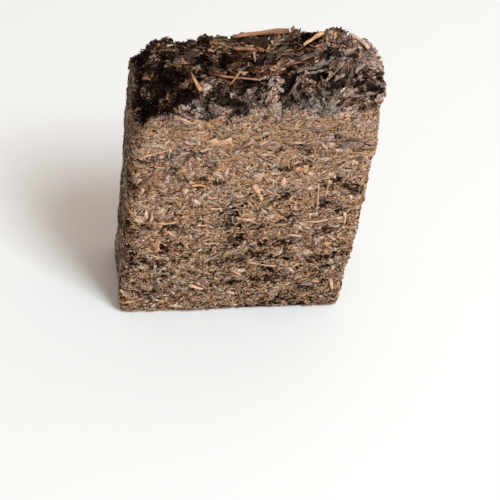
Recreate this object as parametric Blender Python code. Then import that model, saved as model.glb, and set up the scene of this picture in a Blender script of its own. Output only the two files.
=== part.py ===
"""A pressed brick of dark tea, standing on its narrow end with its upper end broken open.

The brick is one solid. Its faces show the edges of the leaf layers as low ledges,
its broken end is a craggy dome of loosened leaves, and stems and leaf pieces that
stand out of it are fused to it. Metres, +Z up; the origin is the middle of the foot,
+X runs along the brick's width and -Y is its broad front face.
"""

import math
import random

import bmesh
import bpy
from mathutils import Matrix, Vector, noise
from mathutils.bvhtree import BVHTree

MM = 0.001

# Driving dimensions of the brick
WIDTH = 0.1165             # along X, the full width of the pressed brick
DEPTH = 0.0458             # along Y, its thickness
EDGE_RADIUS = 0.0040       # the mould's rounded long edges
FOOT_RADIUS = 0.0022       # the rounding round the foot
FOOT_WEAR = (0.007, 0.0020)  # the foot's left and right ends: reach upwards, worn back by
LEFT_LEAN = 0.0016         # how far the left side leans inwards from foot to break
LEFT_FLARE = (0.045, 0.0018)  # its foot stands out: reach upwards, out by
FRONT_SKEW = 0.0016        # the front's lower edge: forward on the left, worn back on the right
SKEW_HEIGHT = 0.060        # height over which that fades out
FOOT_FLAT = 0.0005         # everything below this height is the flat foot

# Broken upper end: heights of the break over the foot, then (reach inwards, drop at the edge)
BREAK_LEFT = 0.1485
BREAK_MIDDLE = 0.1540
BREAK_RIGHT = 0.1605
LEFT_SHOULDER = (0.014, 0.0120)
RIGHT_SHOULDER = (0.009, 0.0060)
FRONT_SHOULDER = (0.019, 0.0125)
BACK_SHOULDER = (0.008, 0.0040)
CORNER_START = (0.041, -0.002)  # the worn back right corner of the break starts at this x and y
CORNER_REACH = (0.009, 0.020)   # and is fully worn this much further on
CORNER_DROP = 0.0060

# Relief of the surface
BED_PITCH = 0.0064         # mean height of one leaf layer
BED_SAG = 0.011            # how far the layers sink from the middle to the sides
LEDGE_DEPTH = 0.0011
SWELL_DEPTH = 0.0006
CRAG_SIZE = 0.0085
CRAG_DEPTH = 0.0034
RIGHT_STEP_HEIGHT = 0.040  # below this the right side is worn back a little
RIGHT_STEP_DEPTH = 0.0012

# Cells of the brick's shell: long and low on the faces, like the layers
CELL_LENGTH = 0.0074
CELL_HEIGHT = 0.0042

# Loose pieces fused to the brick: number, and how far they may stand out of it
BREAK_LEAVES = 30
BREAK_SHREDS = 22
FACE_LEDGES = 22
BACK_STEMS = 5
PROUD = 0.0010
PROUD_BREAK = 0.0035
SEED = 11

# Their sizes, each as the least and the most: length, width, bow; then the most twist, and the tilt
LEAF_SIZES = ((0.009, 0.015), (0.0035, 0.0060), (0.0006, 0.0018))
LEAF_TWIST, LEAF_TILT = 0.9, (0.05, 0.4)
SHRED_SIZES = ((0.006, 0.012), (0.0014, 0.0024), (0.0003, 0.0012))
SHRED_TWIST, SHRED_TILT = 1.2, (0.1, 0.5)
STRIP_THICKNESS = 0.0007
LEDGE_LENGTH, LEDGE_WIDTH = (0.008, 0.018), (0.0012, 0.0024)
LEDGE_THICKNESS, LEDGE_BOW, LEDGE_TWIST = 0.0010, 0.0002, 0.3
LEDGE_SINK = 0.00015
STEM_LENGTH, STEM_RADIUS, STEM_BOW = (0.006, 0.012), (0.0005, 0.0007), 0.0003
STEM_SINK = 0.0001

# The larger stems that can be told apart, in mm: first end, second end, radius.
# On the break the ends are x, y; on the front they are x, z.
BREAK_TWIGS = (
    ((-9.0, 18.0), (17.0, 19.5), 1.5),
    ((-10.0, 10.0), (8.0, 9.5), 0.9),
    ((23.0, 10.5), (32.5, 17.5), 0.8),
    ((47.5, 18.0), (54.0, 8.0), 0.9),
    ((-30.5, -1.0), (-27.0, -14.5), 0.8),
    ((-17.0, -5.5), (0.0, -9.5), 0.6),
    ((-8.0, -6.0), (-13.5, -12.5), 0.6),
    ((18.5, -10.0), (32.0, -5.5), 0.9),
)
FRONT_TWIGS = (
    ((-37.5, 140.0), (-27.0, 136.5), 0.8),
    ((-54.0, 112.0), (-36.5, 120.0), 0.7),
    ((-27.5, 93.5), (-17.5, 96.0), 0.6),
    ((3.5, 94.5), (8.0, 83.5), 0.8),
    ((39.5, 98.0), (38.5, 87.0), 0.6),
    ((34.5, 90.5), (35.5, 77.5), 0.5),
    ((-45.0, 68.5), (-32.0, 69.0), 0.6),
    ((-4.0, 71.0), (5.0, 70.5), 0.8),
    ((32.0, 68.5), (42.5, 69.5), 0.5),
    ((-24.0, 21.5), (-16.0, 18.0), 0.6),
    ((-2.5, 31.5), (4.0, 26.5), 0.6),
    ((51.0, 21.0), (52.0, 13.0), 0.6),
)

FUSED = "fused_pieces"


def clear_scene():
    for obj in list(bpy.data.objects):
        bpy.data.objects.remove(obj)


def tea_material():
    material = bpy.data.materials.new("pressed_tea")
    material.use_nodes = True
    shader = material.node_tree.nodes["Principled BSDF"]
    shader.inputs["Base Color"].default_value = (0.19, 0.125, 0.08, 1.0)
    shader.inputs["Roughness"].default_value = 0.88
    shader.inputs["Metallic"].default_value = 0.0
    return material


# Shape of the brick

def shoulder(distance, reach_and_drop):
    """How far the break has sunk at this distance from an edge."""
    reach, drop = reach_and_drop
    t = max(0.0, 1.0 - distance / reach)
    return drop * t * t


def break_height(x, y):
    """Height of the broken end, a low dome that falls to the left, the front and the back right corner."""
    along = x / (WIDTH / 2)
    if along < 0:
        crown = BREAK_MIDDLE + (BREAK_LEFT - BREAK_MIDDLE) * -along
    else:
        crown = BREAK_MIDDLE + (BREAK_RIGHT - BREAK_MIDDLE) * along
    corner = [smooth((c - start) / reach) for c, start, reach in zip((x, y), CORNER_START, CORNER_REACH)]
    return (crown - CORNER_DROP * corner[0] * corner[1]
            - shoulder(WIDTH / 2 + x, LEFT_SHOULDER)
            - shoulder(WIDTH / 2 - x, RIGHT_SHOULDER)
            - shoulder(DEPTH / 2 + y, FRONT_SHOULDER)
            - shoulder(DEPTH / 2 - y, BACK_SHOULDER))


def round_box(point, half, radius):
    """Pulls a point on a box onto the same box with rounded edges."""
    inner = Vector(max(-h + radius, min(h - radius, c)) for c, h in zip(point, half))
    out = point - inner
    if out.length < 1e-9:
        return point
    return inner + out.normalized() * radius


def smooth(t):
    t = max(0.0, min(1.0, t))
    return t * t * (3 - 2 * t)


def bed_height(p):
    """Height counted along the leaf layers, which sink towards both sides."""
    along = p.x / (WIDTH / 2)
    return p.z + BED_SAG * along * along + 0.4 * BED_SAG * noise.noise(p * 25)


def face_relief(p):
    """Ledges of the layers and a slow swelling, for the pressed faces."""
    layer = bed_height(p) / BED_PITCH
    ledge = noise.noise(Vector((p.x * 60, p.y * 60, layer * 1.7)))
    swell = noise.noise(p * 38 + Vector((7, 3, 1)))
    relief = LEDGE_DEPTH * ledge + SWELL_DEPTH * swell
    if p.x > WIDTH / 2 - EDGE_RADIUS:
        relief -= RIGHT_STEP_DEPTH * smooth((RIGHT_STEP_HEIGHT - p.z) / CELL_LENGTH)
    return relief


def hand_made(p):
    """How the tamped brick differs from a true box: leaning side, skewed front, worn foot."""
    along, deep = p.x / (WIDTH / 2), p.y / (DEPTH / 2)
    left = smooth(-along)
    lean = LEFT_LEAN * (p.z / BREAK_MIDDLE - 0.5) * left - shoulder(p.z, LEFT_FLARE) * left
    wear = -math.copysign(shoulder(p.z, FOOT_WEAR) * smooth(4 * abs(along) - 3), along)
    skew = FRONT_SKEW * along * smooth(-deep) * (1 - smooth(p.z / SKEW_HEIGHT))
    return Vector((lean + wear, skew, 0))


def break_relief(p):
    """Clumps of leaf torn off at different depths, for the broken end."""
    distances, centres = noise.voronoi(p / CRAG_SIZE)
    clump = noise.cell(centres[0] * 3.7)
    gap = smooth((distances[1] - distances[0]) * 2.5)
    return CRAG_DEPTH * (0.55 * clump - 0.35 + 0.3 * gap) + 0.5 * CRAG_DEPTH * noise.noise(p * 160)


def stations(half, margin, cell):
    """Positions of the lattice's planes, with the first and last cell as wide as the rounding."""
    count = round(2 * (half - margin) / cell)
    inner = [(2 * i / count - 1) * (half - margin) for i in range(count + 1)]
    return [-half] + inner + [half]


def add_shell(bm):
    """Quads over a lattice box's six sides, bent into the rounded brick under its break."""
    half = Vector((WIDTH / 2, DEPTH / 2, BREAK_MIDDLE / 2))
    planes = (stations(half.x, EDGE_RADIUS, CELL_LENGTH), stations(half.y, EDGE_RADIUS, CELL_LENGTH),
              stations(half.z, FOOT_RADIUS, CELL_HEIGHT))
    counts = [len(p) - 1 for p in planes]
    corners = {}

    def corner(*index):
        if index not in corners:
            flat = Vector(p[i] for p, i in zip(planes, index))
            plan = round_box(Vector((flat.x, flat.y, 0)), half, EDGE_RADIUS)
            height = flat.z
            if flat.z < 0:
                foot = round_box(Vector((plan.x, plan.y, flat.z)), half, FOOT_RADIUS)
                plan, height = foot, foot.z
            share = (height / half.z + 1) / 2
            place = Vector((plan.x, plan.y, share * break_height(plan.x, plan.y)))
            corners[index] = bm.verts.new(place + hand_made(place))
        return corners[index]

    for axis in range(3):
        a, b = [k for k in range(3) if k != axis]
        for side in (0, counts[axis]):
            for i in range(counts[a]):
                for j in range(counts[b]):
                    ring = []
                    for di, dj in ((0, 0), (1, 0), (1, 1), (0, 1)):
                        index = [0, 0, 0]
                        index[axis], index[a], index[b] = side, i + di, j + dj
                        ring.append(corner(*index))
                    bm.faces.new(ring)
    bmesh.ops.recalc_face_normals(bm, faces=bm.faces)
    top = [corners[i, j, counts[2]] for i in range(counts[0] + 1) for j in range(counts[1] + 1)]
    refine_break(bm, set(top))


def refine_break(bm, top):
    """Halves the cells of the broken end, which has the coarser relief."""
    edges = [e for e in bm.edges if e.verts[0] in top and e.verts[1] in top]
    made = bmesh.ops.subdivide_edges(bm, edges=edges, cuts=1, use_grid_fill=True)
    for v in (g for g in made["geom_inner"] if isinstance(g, bmesh.types.BMVert)):
        v.co.z = break_height(v.co.x, v.co.y)


def push_relief(bm):
    """Moves the shell's vertices along their normals, except on the flat foot."""
    bm.normal_update()
    moves = []
    for v in bm.verts:
        depth_below = break_height(v.co.x, v.co.y) - v.co.z
        broken = smooth(1.2 - depth_below / (3 * CELL_HEIGHT))
        free = smooth((v.co.z - FOOT_FLAT) / FOOT_RADIUS)
        relief = broken * break_relief(v.co) + (1 - broken) * face_relief(v.co)
        moves.append(v.normal * relief * free)
    for v, move in zip(bm.verts, moves):
        v.co += move


def brick_object(material):
    bm = bmesh.new()
    add_shell(bm)
    push_relief(bm)
    bmesh.ops.triangulate(bm, faces=bm.faces)
    mesh = bpy.data.meshes.new("pressed_brick")
    bm.to_mesh(mesh)
    bm.free()
    mesh.materials.append(material)
    brick = bpy.data.objects.new("pressed_brick", mesh)
    bpy.context.scene.collection.objects.link(brick)
    return brick


# Loose pieces, each modelled along +X with its face to +Z

def closed_strip(length, width, thickness, curl, twist, across, cells):
    """A thin wavy strip, narrower at its ends; both faces are split alike."""
    bm = bmesh.new()
    sides = []
    for face in (0.5, -0.5):
        rows = []
        for i in range(cells + 1):
            t = i / cells
            spread = width * (0.45 + 0.55 * math.sin(math.pi * (0.12 + 0.76 * t)))
            turn = Matrix.Rotation(twist * (t - 0.5), 3, "X")
            row = []
            for j in range(across + 1):
                s = j / across - 0.5
                cup = -0.5 * width * math.cos(math.pi * s) if across > 1 else 0.0
                edge = Vector((0, s * spread, cup * 0.5 + face * thickness))
                bow = curl * (1 - (2 * t - 1) ** 2)
                row.append(bm.verts.new(turn @ edge + Vector(((t - 0.5) * length, 0, bow))))
            rows.append(row)
        sides.append(rows)
    for rows in sides:
        for i in range(cells):
            for j in range(across):
                a, b, c, d = rows[i][j], rows[i + 1][j], rows[i + 1][j + 1], rows[i][j + 1]
                bm.faces.new((a, b, c))
                bm.faces.new((a, c, d))
    rims = []
    for rows in sides:
        rims.append(rows[0] + [row[-1] for row in rows[1:]] + rows[-1][-2::-1]
                    + [row[0] for row in rows[-2:0:-1]])
    for k in range(len(rims[0])):
        n = (k + 1) % len(rims[0])
        bm.faces.new((rims[0][k], rims[0][n], rims[1][n], rims[1][k]))
    bmesh.ops.recalc_face_normals(bm, faces=bm.faces)
    return bm


def closed_stem(length, radius, bow, sides=5, cells=2):
    """A bowed stem with blunt ends."""
    bm = bmesh.new()
    rings = []
    for i in range(cells + 1):
        t = i / cells
        lift = bow * math.sin(math.pi * t)
        ring = []
        for k in range(sides):
            angle = 2 * math.pi * k / sides
            thick = radius * (1.0 + 0.12 * math.sin(5 * t + k))
            ring.append(bm.verts.new(((t - 0.5) * length, thick * math.cos(angle),
                                      thick * math.sin(angle) + lift)))
        rings.append(ring)
    for low, high in zip(rings, rings[1:]):
        for k in range(sides):
            n = (k + 1) % sides
            bm.faces.new((low[k], low[n], high[n], high[k]))
    bm.faces.new(rings[0])
    bm.faces.new(rings[-1])
    bmesh.ops.recalc_face_normals(bm, faces=bm.faces)
    return bm


def place(bm, point, normal, spin, tilt, sink):
    """Lays a piece on the surface: turned by spin in its plane, tilted up by tilt, sunk in."""
    up = normal.normalized()
    level = Vector((0, 0, 1)).cross(up)
    along = level.normalized() if level.length > 0.3 else Vector((1, 0, 0))
    across = up.cross(along)
    frame = Matrix((along, across, up)).transposed()
    turn = frame @ Matrix.Rotation(spin, 3, "Z") @ Matrix.Rotation(-tilt, 3, "Y")
    bmesh.ops.transform(bm, matrix=turn.to_4x4(), verts=bm.verts)
    bmesh.ops.translate(bm, vec=point - up * sink, verts=bm.verts)


def lay_stem(surface, ends, radius, pieces):
    """A stem between two points on the surface, each given by where to look from and where to."""
    first, second = (surface.ray_cast(origin, aim)[0] for origin, aim in ends)
    along = second - first
    stem = closed_stem(along.length, radius * MM, STEM_BOW)
    turn = along.to_track_quat("X", "Z" if abs(ends[0][1].z) > 0.5 else "Y").to_matrix()
    bmesh.ops.transform(stem, matrix=turn.to_4x4(), verts=stem.verts)
    bmesh.ops.translate(stem, vec=(first + second) / 2, verts=stem.verts)
    add_piece(stem, pieces)


def lay_twigs(surface, pieces):
    down, inwards = Vector((0, 0, -1)), Vector((0, 1, 0))
    for *ends, radius in BREAK_TWIGS:
        lay_stem(surface, [(Vector((x * MM, y * MM, 2 * WIDTH)), down) for x, y in ends], radius, pieces)
    for *ends, radius in FRONT_TWIGS:
        lay_stem(surface, [(Vector((x * MM, -WIDTH, z * MM)), inwards) for x, z in ends], radius, pieces)


def keep_close(bm):
    """Moves a piece back where it would stand too far out of the brick."""
    for axis, limit in ((0, WIDTH / 2 + PROUD), (1, DEPTH / 2 + PROUD)):
        low = min(v.co[axis] for v in bm.verts)
        high = max(v.co[axis] for v in bm.verts)
        shift = Vector((0, 0, 0))
        shift[axis] = min(0.0, limit - high) + max(0.0, -limit - low)
        bmesh.ops.translate(bm, vec=shift, verts=bm.verts)
    over = max(v.co.z - break_height(v.co.x, v.co.y) for v in bm.verts) - PROUD_BREAK
    bmesh.ops.translate(bm, vec=(0, 0, min(0.0, -over)), verts=bm.verts)


def add_piece(bm, pieces):
    keep_close(bm)
    bmesh.ops.triangulate(bm, faces=bm.faces)
    mesh = bpy.data.meshes.new("piece")
    bm.to_mesh(mesh)
    bm.free()
    piece = bpy.data.objects.new("piece", mesh)
    piece.hide_render = True
    piece.display_type = "WIRE"
    pieces.objects.link(piece)


def even_spots(count, start):
    """Points spread evenly over the unit square by a fixed rule."""
    for k in range(count):
        yield (start + 0.7548776662 * (k + 1)) % 1.0, (start + 0.5698402910 * (k + 1)) % 1.0


def break_spots(surface, count, start):
    """Points and normals spread over the broken end."""
    for u, v in even_spots(count, start):
        x = (u - 0.5) * (WIDTH - EDGE_RADIUS)
        y = (v - 0.5) * (DEPTH - EDGE_RADIUS)
        point, normal, _, _ = surface.ray_cast(Vector((x, y, 0.3)), Vector((0, 0, -1)))
        yield point, normal


def face_spots(surface, count, start):
    """Points and normals spread round the brick's four upright faces."""
    around = 2 * (WIDTH + DEPTH)
    for u, v in even_spots(count, start):
        run = u * around
        height = (0.05 + 0.87 * v) * BREAK_MIDDLE
        if run < 2 * WIDTH:
            front = run < WIDTH
            x = run % WIDTH - WIDTH / 2
            origin, aim = Vector((x, -0.2 if front else 0.2, height)), Vector((0, 1 if front else -1, 0))
        else:
            rest = run - 2 * WIDTH
            left = rest < DEPTH
            y = rest % DEPTH - DEPTH / 2
            origin, aim = Vector((-0.2 if left else 0.2, y, height)), Vector((1 if left else -1, 0, 0))
        point, normal, _, _ = surface.ray_cast(origin, aim)
        if point is not None:
            yield point, normal


def drawn_strip(draw, sizes, twist, across):
    """A loose leaf or shred of a drawn length, width, bow and twist."""
    length, width, bow = (draw.uniform(*size) for size in sizes)
    return closed_strip(length, width, STRIP_THICKNESS, bow, draw.uniform(-twist, twist), across, cells=2)


def lay_break_leaves(surface, draw, pieces):
    for point, normal in break_spots(surface, BREAK_LEAVES, 0.1):
        leaf = drawn_strip(draw, LEAF_SIZES, LEAF_TWIST, across=2)
        place(leaf, point, normal, draw.uniform(0, 2 * math.pi), draw.uniform(*LEAF_TILT), 0.0)
        add_piece(leaf, pieces)
    for point, normal in break_spots(surface, BREAK_SHREDS, 0.37):
        shred = drawn_strip(draw, SHRED_SIZES, SHRED_TWIST, across=1)
        place(shred, point, normal, draw.uniform(0, 2 * math.pi), draw.uniform(*SHRED_TILT), 0.0)
        add_piece(shred, pieces)


def lay_ledges(surface, draw, pieces):
    for point, normal in face_spots(surface, FACE_LEDGES, 0.23):
        ledge = closed_strip(draw.uniform(*LEDGE_LENGTH), draw.uniform(*LEDGE_WIDTH), LEDGE_THICKNESS,
                             LEDGE_BOW, draw.uniform(-LEDGE_TWIST, LEDGE_TWIST), across=1, cells=2)
        place(ledge, point, normal, draw.gauss(0, 0.16), draw.uniform(-0.05, 0.05), LEDGE_SINK)
        add_piece(ledge, pieces)


def lay_back_stems(surface, draw, pieces):
    for point, normal in face_spots(surface, 4 * BACK_STEMS, 0.79):
        if normal.y > 0.5:
            stem = closed_stem(draw.uniform(*STEM_LENGTH), draw.uniform(*STEM_RADIUS), STEM_BOW)
            place(stem, point, normal, draw.gauss(0, 0.7), draw.uniform(0.0, 0.12), STEM_SINK)
            add_piece(stem, pieces)


def scatter_pieces(brick, pieces):
    draw = random.Random(SEED)
    surface = BVHTree.FromObject(brick, bpy.context.evaluated_depsgraph_get())
    lay_twigs(surface, pieces)
    lay_break_leaves(surface, draw, pieces)
    lay_ledges(surface, draw, pieces)
    lay_back_stems(surface, draw, pieces)


def fuse(brick, pieces):
    """Joins the loose pieces to the brick by one union, and removes them."""
    union = brick.modifiers.new("fuse", "BOOLEAN")
    union.operation = "UNION"
    union.operand_type = "COLLECTION"
    union.collection = pieces
    union.solver = "EXACT"
    bpy.context.view_layer.objects.active = brick
    bpy.ops.object.modifier_apply(modifier=union.name)
    for piece in list(pieces.objects):
        bpy.data.objects.remove(piece)
    bpy.data.collections.remove(pieces)


def keep_outer_shell(brick):
    """Drops loose scraps and fills sealed hollows, by keeping the largest shell alone."""
    bm = bmesh.new()
    bm.from_mesh(brick.data)
    left = set(bm.verts)
    shells = []
    while left:
        shell, edge = set(), [left.pop()]
        while edge:
            v = edge.pop()
            shell.add(v)
            for link in v.link_edges:
                other = link.other_vert(v)
                if other in left:
                    left.discard(other)
                    edge.append(other)
        shells.append(shell)
    shells.sort(key=len)
    for shell in shells[:-1]:
        bmesh.ops.delete(bm, geom=list(shell), context="VERTS")
    bm.to_mesh(brick.data)
    bm.free()


def trim_foot(brick):
    """Cuts off what would reach under the foot, so that the brick stands flat."""
    bm = bmesh.new()
    bm.from_mesh(brick.data)
    for v in bm.verts:
        v.co.z = max(v.co.z, 0.0)
    bm.to_mesh(brick.data)
    bm.free()


def centre_plan(brick):
    """Puts the middle of the brick's box over the origin."""
    xs = [v.co.x for v in brick.data.vertices]
    ys = [v.co.y for v in brick.data.vertices]
    shift = Vector((-(min(xs) + max(xs)) / 2, -(min(ys) + max(ys)) / 2, 0))
    brick.data.transform(Matrix.Translation(shift))


def main():
    clear_scene()
    brick = brick_object(tea_material())
    pieces = bpy.data.collections.new(FUSED)
    bpy.context.scene.collection.children.link(pieces)
    scatter_pieces(brick, pieces)
    fuse(brick, pieces)
    keep_outer_shell(brick)
    trim_foot(brick)
    centre_plan(brick)


main()
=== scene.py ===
"""The pressed brick of dark tea: its packed core, leaf flakes, broken end and stems, and the studio."""

import math
from collections import namedtuple

import bpy
import numpy as np
from bpy.props import FloatProperty, FloatVectorProperty, IntProperty, PointerProperty
from mathutils import Matrix, Vector
from mathutils.bvhtree import BVHTree


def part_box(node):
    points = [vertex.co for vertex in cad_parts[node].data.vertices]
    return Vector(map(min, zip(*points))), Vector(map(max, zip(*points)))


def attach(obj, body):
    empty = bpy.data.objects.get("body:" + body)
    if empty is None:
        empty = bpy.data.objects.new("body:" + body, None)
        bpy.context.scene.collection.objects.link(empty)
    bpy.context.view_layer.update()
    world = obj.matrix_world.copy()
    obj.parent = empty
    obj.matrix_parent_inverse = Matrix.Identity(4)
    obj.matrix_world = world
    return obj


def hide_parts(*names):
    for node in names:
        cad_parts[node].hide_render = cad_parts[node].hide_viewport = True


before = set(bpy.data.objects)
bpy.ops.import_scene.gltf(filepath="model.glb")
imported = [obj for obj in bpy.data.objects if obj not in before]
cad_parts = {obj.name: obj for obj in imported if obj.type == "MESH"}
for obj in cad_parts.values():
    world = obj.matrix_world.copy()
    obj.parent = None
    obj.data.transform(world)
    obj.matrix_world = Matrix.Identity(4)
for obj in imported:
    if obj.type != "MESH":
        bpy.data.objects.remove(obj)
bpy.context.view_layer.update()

bl_info = {
    "name": "Pressed Tea Brick",
    "version": (1, 0, 0),
    "blender": (4, 5, 0),
    "location": "3D View > Sidebar > Tea Brick",
    "description": "Models the surface of a broken brick of pressed dark tea, leaf by leaf",
    "category": "Object",
}

MM = 0.001
NODE = "pressed_brick"
BODY = "root"
LOW, HIGH = (np.array(corner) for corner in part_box(NODE))
HALF = (HIGH - LOW) / 2
TALL = HIGH[2]

KINDS = ("flakes", "bits", "fibres", "leaves", "shreds", "stems")
# Lengths: typical in mm, spread, least and most in mm. Other sizes in mm: least and most.
PLATE_LENGTHS, FLAKE_LENGTHS = (4.2, 0.3, 2.5, 8), (2.1, 0.42, 0.9, 5.5)
FIBRE_LENGTHS, STEM_LENGTHS = (2.4, 0.45, 1, 7), (4.5, 0.4, 2, 12)
LEAF_LENGTHS, SHRED_LENGTHS = (5.8, 0.38, 2.6, 13), (3.8, 0.42, 1.6, 11)
FLAKE_THICKNESS, LEAF_THICKNESS, SHRED_THICKNESS = (0.2, 0.36), (0.2, 0.4), (0.25, 0.45)
SHRED_WIDTHS, BIT_SIZES = (0.5, 1.4), (0.55, 1.3)
FIBRE_RADII, STEM_RADII = (0.15, 0.32), (0.25, 0.5)

# Leaf looks: roughness, specular, streak, height of the relief in metres, stretch of the streaks.
LEAF_LOOKS = {
    "flake": (0.85, 0.04, 0.55, 0.0001, 0.5),
    "bit": (0.85, 0.04, 0.45, 0.0001, 1),
    "fibre": (0.8, 0.04, 0.35, 0.00006, 0.4),
    "torn_leaf": (0.65, 0.12, 0.65, 0.0003, 0.35),
    "shred": (0.65, 0.14, 0.5, 0.00015, 0.4),
    "bark": (0.75, 0.15, 0.65, 0.0003, 0.15),
}

Shape = namedtuple("Shape", "points triangles grain")
Spots = namedtuple("Spots", "place normal broken pit")

# Colours of leaf and stem, linear red, green and blue
ORANGE, TAN, PINK = (0.60, 0.33, 0.17), (0.62, 0.39, 0.235), (0.60, 0.40, 0.30)
PALE, BONE, BARK = (0.78, 0.53, 0.36), (0.60, 0.46, 0.36), (0.38, 0.185, 0.10)
AMBER = (0.58, 0.315, 0.15)
RUST, FAWN, SILVER = (0.25, 0.115, 0.065), (0.34, 0.23, 0.165), (0.31, 0.235, 0.20)
GREY, DUN = (0.22, 0.165, 0.14), (0.16, 0.11, 0.08)
CALM = (0.46, 0.285, 0.18)
# The core's grey, for the shoulders of the break, is partly the leaves' own grey and partly painted sheen.
CORE_BROWN, CORE_GREY = np.array((0.30, 0.172, 0.100)), np.array((0.21, 0.135, 0.095))
CORE_BLACK = np.array((0.034, 0.016, 0.008))
LUMA = np.array([0.2126, 0.7152, 0.0722])

LAYER_RISE = 0.12  # of the leaf layers along X
LEVEL_TOP, LEVEL_FADE = 0.045, 0.05  # m, up to where the layers run level, and how fast that changes
BREAK_FOOT, BREAK_FADE = 0.120, 0.012  # m, from where up a piece can be part of the break
CRUMBS_PER_METRE = (1250, 1250, 1700)
FIELDS = {1: ("FLOAT", "value"), 3: ("FLOAT_VECTOR", "vector"), 4: ("FLOAT_COLOR", "color")}

# The studio, in metres
FILM_WIDTH = 36.0  # mm
FLOOR_SIZE, FLOOR_TONES = 6, (0.86, 0.90)
WINDOW_SIZE, WINDOW_DISTANCE, WINDOW_AIM = (0.50, 0.77), 1.87, (0, 0, 0.06)
WINDOW_COLOUR, ROOM_COLOUR = (0.82, 0.94, 1.0), (1.0, 0.87, 0.77, 1.0)
ROOM_SIDES = (0.55, 1.45)  # share of the room's light that comes from the left and from the right

# Stems that can be told apart, in mm: first end, second end, radius, colour.
# On the break the ends are x, y; on the front they are x, z.
BREAK_TWIGS = (
    ((17, 19.5), (-9.5, 17.7), 1.3, BARK),
    ((-10, 9.5), (1, 7.5), 1.1, (0.32, 0.16, 0.095)),
    ((1, 7.5), (8, 8.5), 0.95, RUST),
    ((-18, -6), (0, -10.5), 0.6, BARK),
    ((-8.5, -7.5), (-13.2, -12.5), 0.5, (0.36, 0.19, 0.10)),
    ((-26.4, -13.8), (-29.8, -2), 1, AMBER),
    ((33, 17.8), (22.5, 7.5), 1.15, (0.66, 0.38, 0.21)),
    ((-40.5, 12), (-37.5, 12.8), 0.5, BONE),
    ((54, 8.5), (46.5, 20), 1.2, (0.72, 0.53, 0.42)),
    ((-26, 14.5), (-24, 12), 0.65, RUST),
    ((-1, 4.5), (-0.5, 0.5), 0.7, FAWN),
    ((-21.5, 9), (-19, 8), 0.8, FAWN),
    ((8.5, 14), (9, 12.5), 0.6, BONE),
    ((13, -4), (20.5, -3.5), 0.65, RUST),
    ((46.5, -2), (46, -10), 0.5, GREY),
    ((-22, -10), (-19, -8), 0.55, GREY),
    ((-52, -1.5), (-48.5, -3.5), 0.9, RUST),
    ((12, 4), (9, -0.5), 0.5, RUST),
    ((26, 6.5), (20, 7.5), 0.5, RUST),
)
FRONT_TWIGS = (
    ((-33, 139.5), (-25.5, 137), 0.5, TAN),
    ((-53.5, 114.5), (-38.5, 121.5), 0.55, TAN),
    ((-51.5, 96), (-43, 106.5), 0.8, BARK),
    ((-50.5, 94), (-51.5, 89.5), 1, TAN),
    ((-47, 94), (-41.5, 94), 0.4, ORANGE),
    ((-27.5, 96), (-21, 96), 0.8, ORANGE),
    ((-19.5, 88), (-13.5, 88), 0.6, PINK),
    ((3, 96.5), (7.5, 86.5), 1.4, (0.72, 0.44, 0.26)),
    ((39, 100), (38.5, 88.5), 0.75, TAN),
    ((34, 97.5), (35.5, 77.5), 0.5, TAN),
    ((41.5, 108), (46, 112.5), 0.55, PINK),
    ((25, 109.5), (27, 109), 0.7, PALE),
    ((32, 125), (35, 122), 0.65, PALE),
    ((-17.5, 80), (-11.5, 80), 0.5, PALE),
    ((-4, 72.5), (4.5, 72), 0.7, PALE),
    ((-45, 69.5), (-33, 70.5), 0.65, ORANGE),
    ((-22.5, 67.5), (-18, 67.5), 0.55, PALE),
    ((-25, 64), (-21, 63), 0.6, PINK),
    ((31.5, 70), (42, 71.5), 0.5, PALE),
    ((32, 75.5), (36, 77.5), 0.5, PALE),
    ((50, 76.5), (51, 68.5), 0.85, PALE),
    ((50, 24.5), (52, 16.5), 1.05, PALE),
    ((-24, 22.5), (-16.5, 18.5), 0.85, PALE),
    ((-3, 33.5), (3.5, 28), 0.5, PALE),
    ((5, 38), (20, 35.5), 0.5, PINK),
    ((22, 38.5), (20, 29), 0.5, FAWN),
    ((-18.5, 54), (-10.5, 54.5), 0.5, TAN),
    ((-58, 8.5), (-47.5, 12.5), 0.6, ORANGE),
)
# Leaf chips that can be told apart: first end, second end, width, colour.
BREAK_CHIPS = (
    ((19, -10), (32, -4.5), 2.2, GREY),
    ((21, -11.5), (31, -7), 1, SILVER),
    ((31.5, -12), (39.5, -4), 1.9, FAWN),
    ((33, -7), (35.5, -3), 1.6, SILVER),
    ((35.5, -11), (40.5, -9.5), 1.6, FAWN),
    ((33, -3), (38, 3), 1.6, GREY),
    ((39, 9), (44.5, 10), 1.4, GREY),
    ((36, 11), (44.5, 18), 1.8, DUN),
    ((20.5, -2.5), (30, 3.5), 2.4, DUN),
    ((14, -16.5), (19, -14), 1.4, GREY),
    ((4.5, -14.5), (7, -10.5), 1.4, SILVER),
    ((1, -19), (3, -16.5), 1.4, SILVER),
    ((29.5, -18), (31, -21.5), 1.2, SILVER),
    ((37.5, -22), (41, -20), 1.6, FAWN),
    ((42, -20), (54, -17), 1.6, GREY),
    ((27, -14.5), (28.5, -15.5), 1.6, RUST),
    ((20, -12.5), (23, -9.5), 1.4, BARK),
    ((-20.5, 12.5), (-17, 14), 2, RUST),
    ((44, -8), (41, -14), 1.6, DUN),
    ((52, -2), (50, -9), 1.8, DUN),
)
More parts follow.
